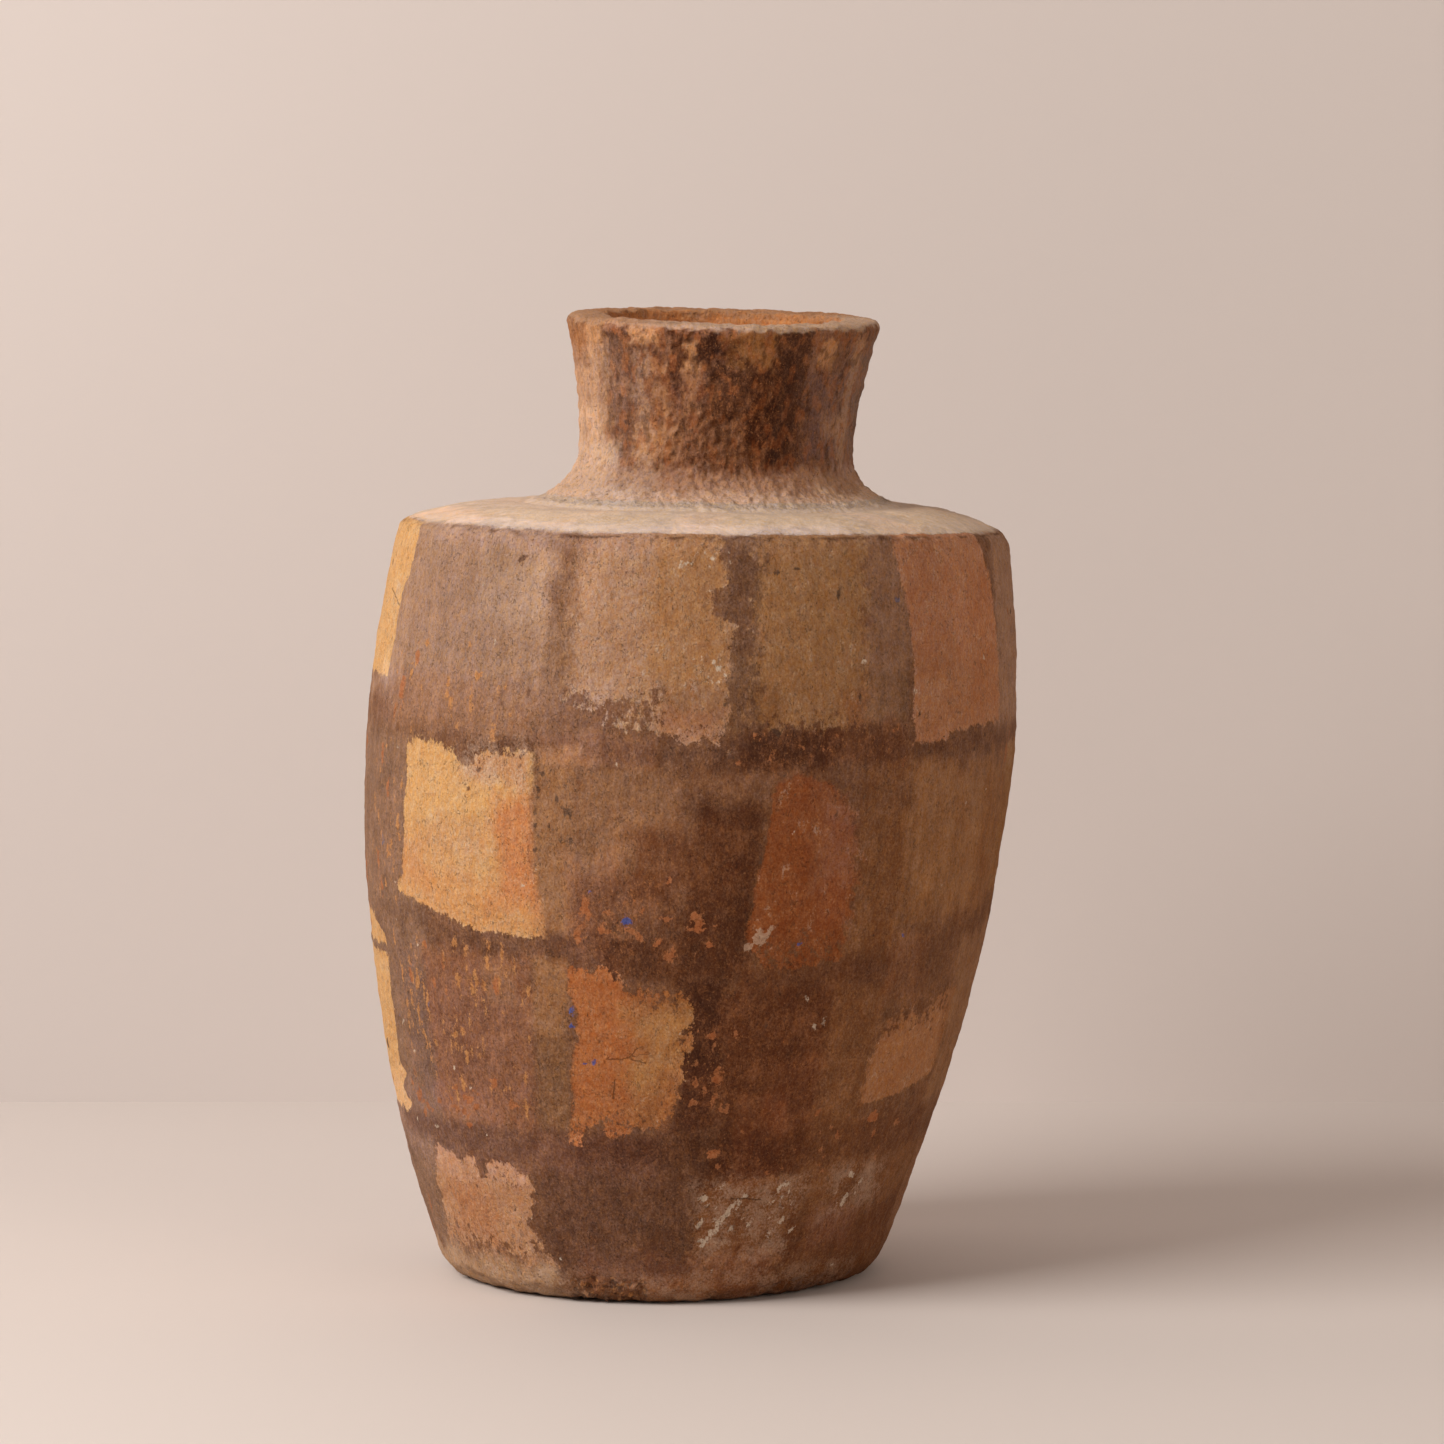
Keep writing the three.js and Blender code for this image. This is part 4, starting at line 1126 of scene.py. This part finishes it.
# Tints that the clay's colour wanders between
GREYER, WARMER = (0.93, 1.0, 1.18, 1.0), (1.06, 1.0, 0.8, 1.0)


def solid(name):
    return (*map(float, linear(name)), 1.0)


def slip_paint(s):
    """The slip, mottled and worn thin over the clay, with soot and flecks where it is worn."""
    colour = s.tone("slip", brushed=0.3, grain=1.2, mottle=0.6, flake=0.45)
    thin = s.step(s.total(0.0, mottle=0.8, flake=0.9, brushed=0.4, grain=0.9), -0.05, 0.25, 0.36)
    colour = s.mix(s.times(thin, "wear"), colour, solid("clay"))
    bare = s.step(s.less("flake", s.line("wear", -0.17, 0.78)), 0.0, 0.05, 0.8)
    colour = s.mix(bare, colour, s.tone(solid("clay"), grain=1.2))
    colour = s.mix(s.times("wear", s.step("flake", 0.42, 0.35, 0.4)), colour, solid("night slip"))
    return s.mix(s.times("wear", s.step("speck", 0.61, 0.69, 0.6)), colour, solid("fleck"))


def square_paint(s):
    """The paint of the squares, warm in places, dusty in others, with dark dashes."""
    painted = s.tone("square", grain=1.2, mottle=0.55, brushed=0.2, flake=0.6)
    warm = s.step(s.total(0.0, lumps=1.0, mottle=0.7), 0.02, 0.25, 0.25)
    pale = s.step(s.total(0.0, mottle=1.0, grain=0.7, flake=0.7), 0.17, 0.24, 0.3)
    for share, name in ((warm, "clay"), (pale, "dust"), (s.step("dash", 0.70, 0.74, 0.55), "dark slip")):
        painted = s.mix(share, painted, solid(name))
    return painted


def square_share(s):
    """Where the squares lie: inside their frayed edges, and not flaked off."""
    edge = s.total("square_edge", grain=2.4)
    edge = s.calculate("ADD", edge, s.times("square_fray", s.total(0.0, flake=8.0)))
    inside = s.step(s.calculate("DIVIDE", edge, "square_soft"), -1.0, 1.0)
    lost = s.step(s.less(s.line("loss", 0.26, 0.27), "flake"), 0.0, 0.03, 0.9)
    return s.less(inside, s.times(lost, inside))


def damage_and_painted_shade(s):
    """Holes, cracks, pinpricks, hairlines and scratches: sunk in the bump, with painted shade darkening them.
    """
    across_vein = s.calculate("ABSOLUTE", s.less("vein", 0.5))
    dark = s.step("dash", 0.72, 0.77, 0.45)
    for other in (s.step(s.calculate("ABSOLUTE", "crack"), 0.55, 0.15, 0.5),
                  s.step("scratch", 0.68, 0.76, 0.2), s.step("speck", 0.36, 0.31, 0.5),
                  s.times(s.step(across_vein, 0.014, 0.004, 0.4), s.step("flake", 0.5, 0.56))):
        dark = s.calculate("MAXIMUM", dark, other)
    return s.times(dark, s.step("grit", 0.1, 0.5))


def fired_clay(name, roughness):
    """Slip over clay, with the squares, marks, dust and pits on it, and painted shade in the pits and cracks.
    """
    s = Shading(name)
    in_square, dark = square_share(s), damage_and_painted_shade(s)
    colour = s.mix(in_square, slip_paint(s), square_paint(s))
    colour = s.tinted(colour, s.mix(s.step("cast", 0.36, 0.64), GREYER, WARMER))
    marked = s.step(s.total("mark_edge", grain=4.0, flake=5.0), -0.2, 0.5, 0.85)
    marked = s.times(marked, s.step("grain", 0.30, 0.42))
    colour = s.mix(marked, colour, s.tone("mark", grain=1.0, flake=0.8))
    dusty = s.times("dust", s.step(s.total(0.5, mottle=1.8, grain=1.6), 0.35, 0.75))
    colour = s.mix(dusty, colour, solid("dust"))
    # Darkened where the cracks, pits and scratches are sunk: painted shade in these recesses
    s.feed(s.shade(colour, s.line(dark, -GAIN, GAIN)), s.shader.inputs["Base Color"])

    height = s.times(s.total(0.0, grain=1.6, lumps=4.5, scratch=0.9, speck=0.8), "grit")
    height = s.line(s.total(0.0, brushed=1.0), s.line("grit", -0.7, 0.7), height)
    height = s.line(dark, -0.8, s.line(in_square, -0.2, height))
    bump = s.node("ShaderNodeBump", {"Height": height, "Strength": 1.0, "Distance": BUMP_DEPTH * MM})
    s.feed(bump.outputs["Normal"], s.shader.inputs["Normal"])
    s.feed(s.total(roughness, grain=0.3, mottle=0.2), s.shader.inputs["Roughness"])
    s.shader.inputs["Specular IOR Level"].default_value = SHINE
    return s.material


ROUGHNESS = {
    "bare_foot": 0.9, "painted_wall": 0.85, "dusty_shoulder": 0.92, "painted_neck": 0.84, "lip_clay": 0.88,
}
MATERIALS = {name: fired_clay(name, roughness) for name, roughness in ROUGHNESS.items()}

# Each node of the model, with the ends of its rows outside and inside, and its slot
PIECES = {
    "base_slab": (("underside start", "bed 0"), ("inner bed 0", "floor"), "bare_foot"),
    "shoulder_ring": (("bed 4", "collar bed"), ("inner collar bed", "inner bed 4"), "dusty_shoulder"),
    "neck_collar": (("collar bed", "rim bed"), ("inner rim bed", "inner collar bed"), "painted_neck"),
    "rim_coil": (("rim bed", "inner rim bed"), None, "lip_clay"),
}
for course in range(COURSES):
    outer = (f"bed {course}", f"bed {course + 1}")
    inner = (f"inner bed {course + 1}", f"inner bed {course}")
    PIECES[f"wall_course_{course + 1}"] = (outer, inner, "painted_wall")
for name, (outer, inner, slot_name) in PIECES.items():
    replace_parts(make_piece(name + "_fired", outer, inner, slot_name), name)

# Camera, as in the photograph: place in metres, degrees below the level, and lens in mm
CAMERA_PLACE, CAMERA_DOWN = (0.0289, -3.5, 0.63), 6.05
LENS, SENSOR, FAR_CLIP = 186.93, 36, 50
camera = bpy.data.objects.new("camera", bpy.data.cameras.new("camera"))
camera.data.lens = LENS
camera.data.sensor_width = SENSOR
camera.data.clip_end = FAR_CLIP
camera.location = CAMERA_PLACE
camera.rotation_euler = (math.radians(90 - CAMERA_DOWN), 0, 0)
bpy.context.collection.objects.link(camera)
bpy.context.scene.camera = camera

# Floor and backdrop, in metres, with their colours and roughness
BACK, SIDE, UP = 0.5, 3.2, 4
FLOOR, BACKDROP = ((0.68, 0.60, 0.555), 0.7), ((0.66, 0.585, 0.55), 0.9)

# Lamps: place, width, height, power and colour, aimed at the jar. Then the room's own soft light, and
# how it looks where it is seen
LAMPS = {
    "key": ((-1.92, -1.2, 1.85), 1.8, 1.4, 84, (1, 0.98, 0.95)),
    "fill": ((2.4, -1.9, 0.8), 2.5, 2.5, 32, (1, 0.86, 0.74)),
}
AIM = (0, 0, 0.2)
ROOM_LIGHT, ROOM_STRENGTH, ROOM_SEEN = (1, 0.97, 0.94, 1), 0.15, (0.62, 0.54, 0.49, 1)


def stage_material(name, colour, roughness):
    material = bpy.data.materials.new(name)
    material.use_nodes = True
    shader = material.node_tree.nodes["Principled BSDF"]
    shader.inputs["Base Color"].default_value = (*colour, 1)
    shader.inputs["Roughness"].default_value = roughness
    return material


def clear_from_behind(material):
    """Lets a view from behind the panel see through it."""
    nodes, links = material.node_tree.nodes, material.node_tree.links
    side, clear, mixed = (nodes.new(kind) for kind in (
        "ShaderNodeNewGeometry", "ShaderNodeBsdfTransparent", "ShaderNodeMixShader"))
    links.new(side.outputs["Backfacing"], mixed.inputs[0])
    links.new(nodes["Principled BSDF"].outputs[0], mixed.inputs[1])
    links.new(clear.outputs[0], mixed.inputs[2])
    links.new(mixed.outputs[0], nodes["Material Output"].inputs["Surface"])
    return material


def panel(name, outline, material):
    mesh = bpy.data.meshes.new(name)
    mesh.from_pydata(outline, [], [(0, 1, 2, 3)])
    mesh.materials.append(material)
    obj = bpy.data.objects.new(name, mesh)
    bpy.context.collection.objects.link(obj)


def area_light(name, location, width, height, power, colour):
    light = bpy.data.lights.new(name, "AREA")
    light.shape = "RECTANGLE"
    light.size = width
    light.size_y = height
    light.energy = power
    light.color = colour
    obj = bpy.data.objects.new(name, light)
    obj.location = location
    obj.rotation_euler = (Vector(AIM) - Vector(location)).to_track_quat("-Z", "Y").to_euler()
    bpy.context.collection.objects.link(obj)


def studio_world():
    """Lights the jar softly, and where the camera or a mirror sees it, it is a pale room."""
    world = bpy.data.worlds.new("studio")
    world.use_nodes = True
    nodes, links = world.node_tree.nodes, world.node_tree.links
    soft, pale, seen, shown = (nodes["Background"], nodes.new("ShaderNodeBackground"),
                               nodes.new("ShaderNodeLightPath"), nodes.new("ShaderNodeMixShader"))
    soft.inputs["Color"].default_value = ROOM_LIGHT
    soft.inputs["Strength"].default_value = ROOM_STRENGTH
    pale.inputs["Color"].default_value = ROOM_SEEN
    seen_directly = seen.outputs["Is Camera Ray"]
    for kind in ("Is Glossy Ray", "Is Transmission Ray"):
        either = nodes.new("ShaderNodeMath")
        either.operation = "MAXIMUM"
        links.new(seen_directly, either.inputs[0])
        links.new(seen.outputs[kind], either.inputs[1])
        seen_directly = either.outputs[0]
    for place, value in enumerate((seen_directly, soft.outputs[0], pale.outputs[0])):
        links.new(value, shown.inputs[place])
    links.new(shown.outputs[0], nodes["World Output"].inputs["Surface"])
    return world


panel("floor", [(-SIDE, -SIDE, 0), (SIDE, -SIDE, 0), (SIDE, BACK, 0), (-SIDE, BACK, 0)],
      stage_material("floor", *FLOOR))
panel("backdrop", [(-SIDE, BACK, 0), (SIDE, BACK, 0), (SIDE, BACK, UP), (-SIDE, BACK, UP)],
      clear_from_behind(stage_material("backdrop", *BACKDROP)))
for name, lamp in LAMPS.items():
    area_light(name, *lamp)
bpy.context.scene.world = studio_world()
bpy.context.scene.view_settings.view_transform = "Standard"
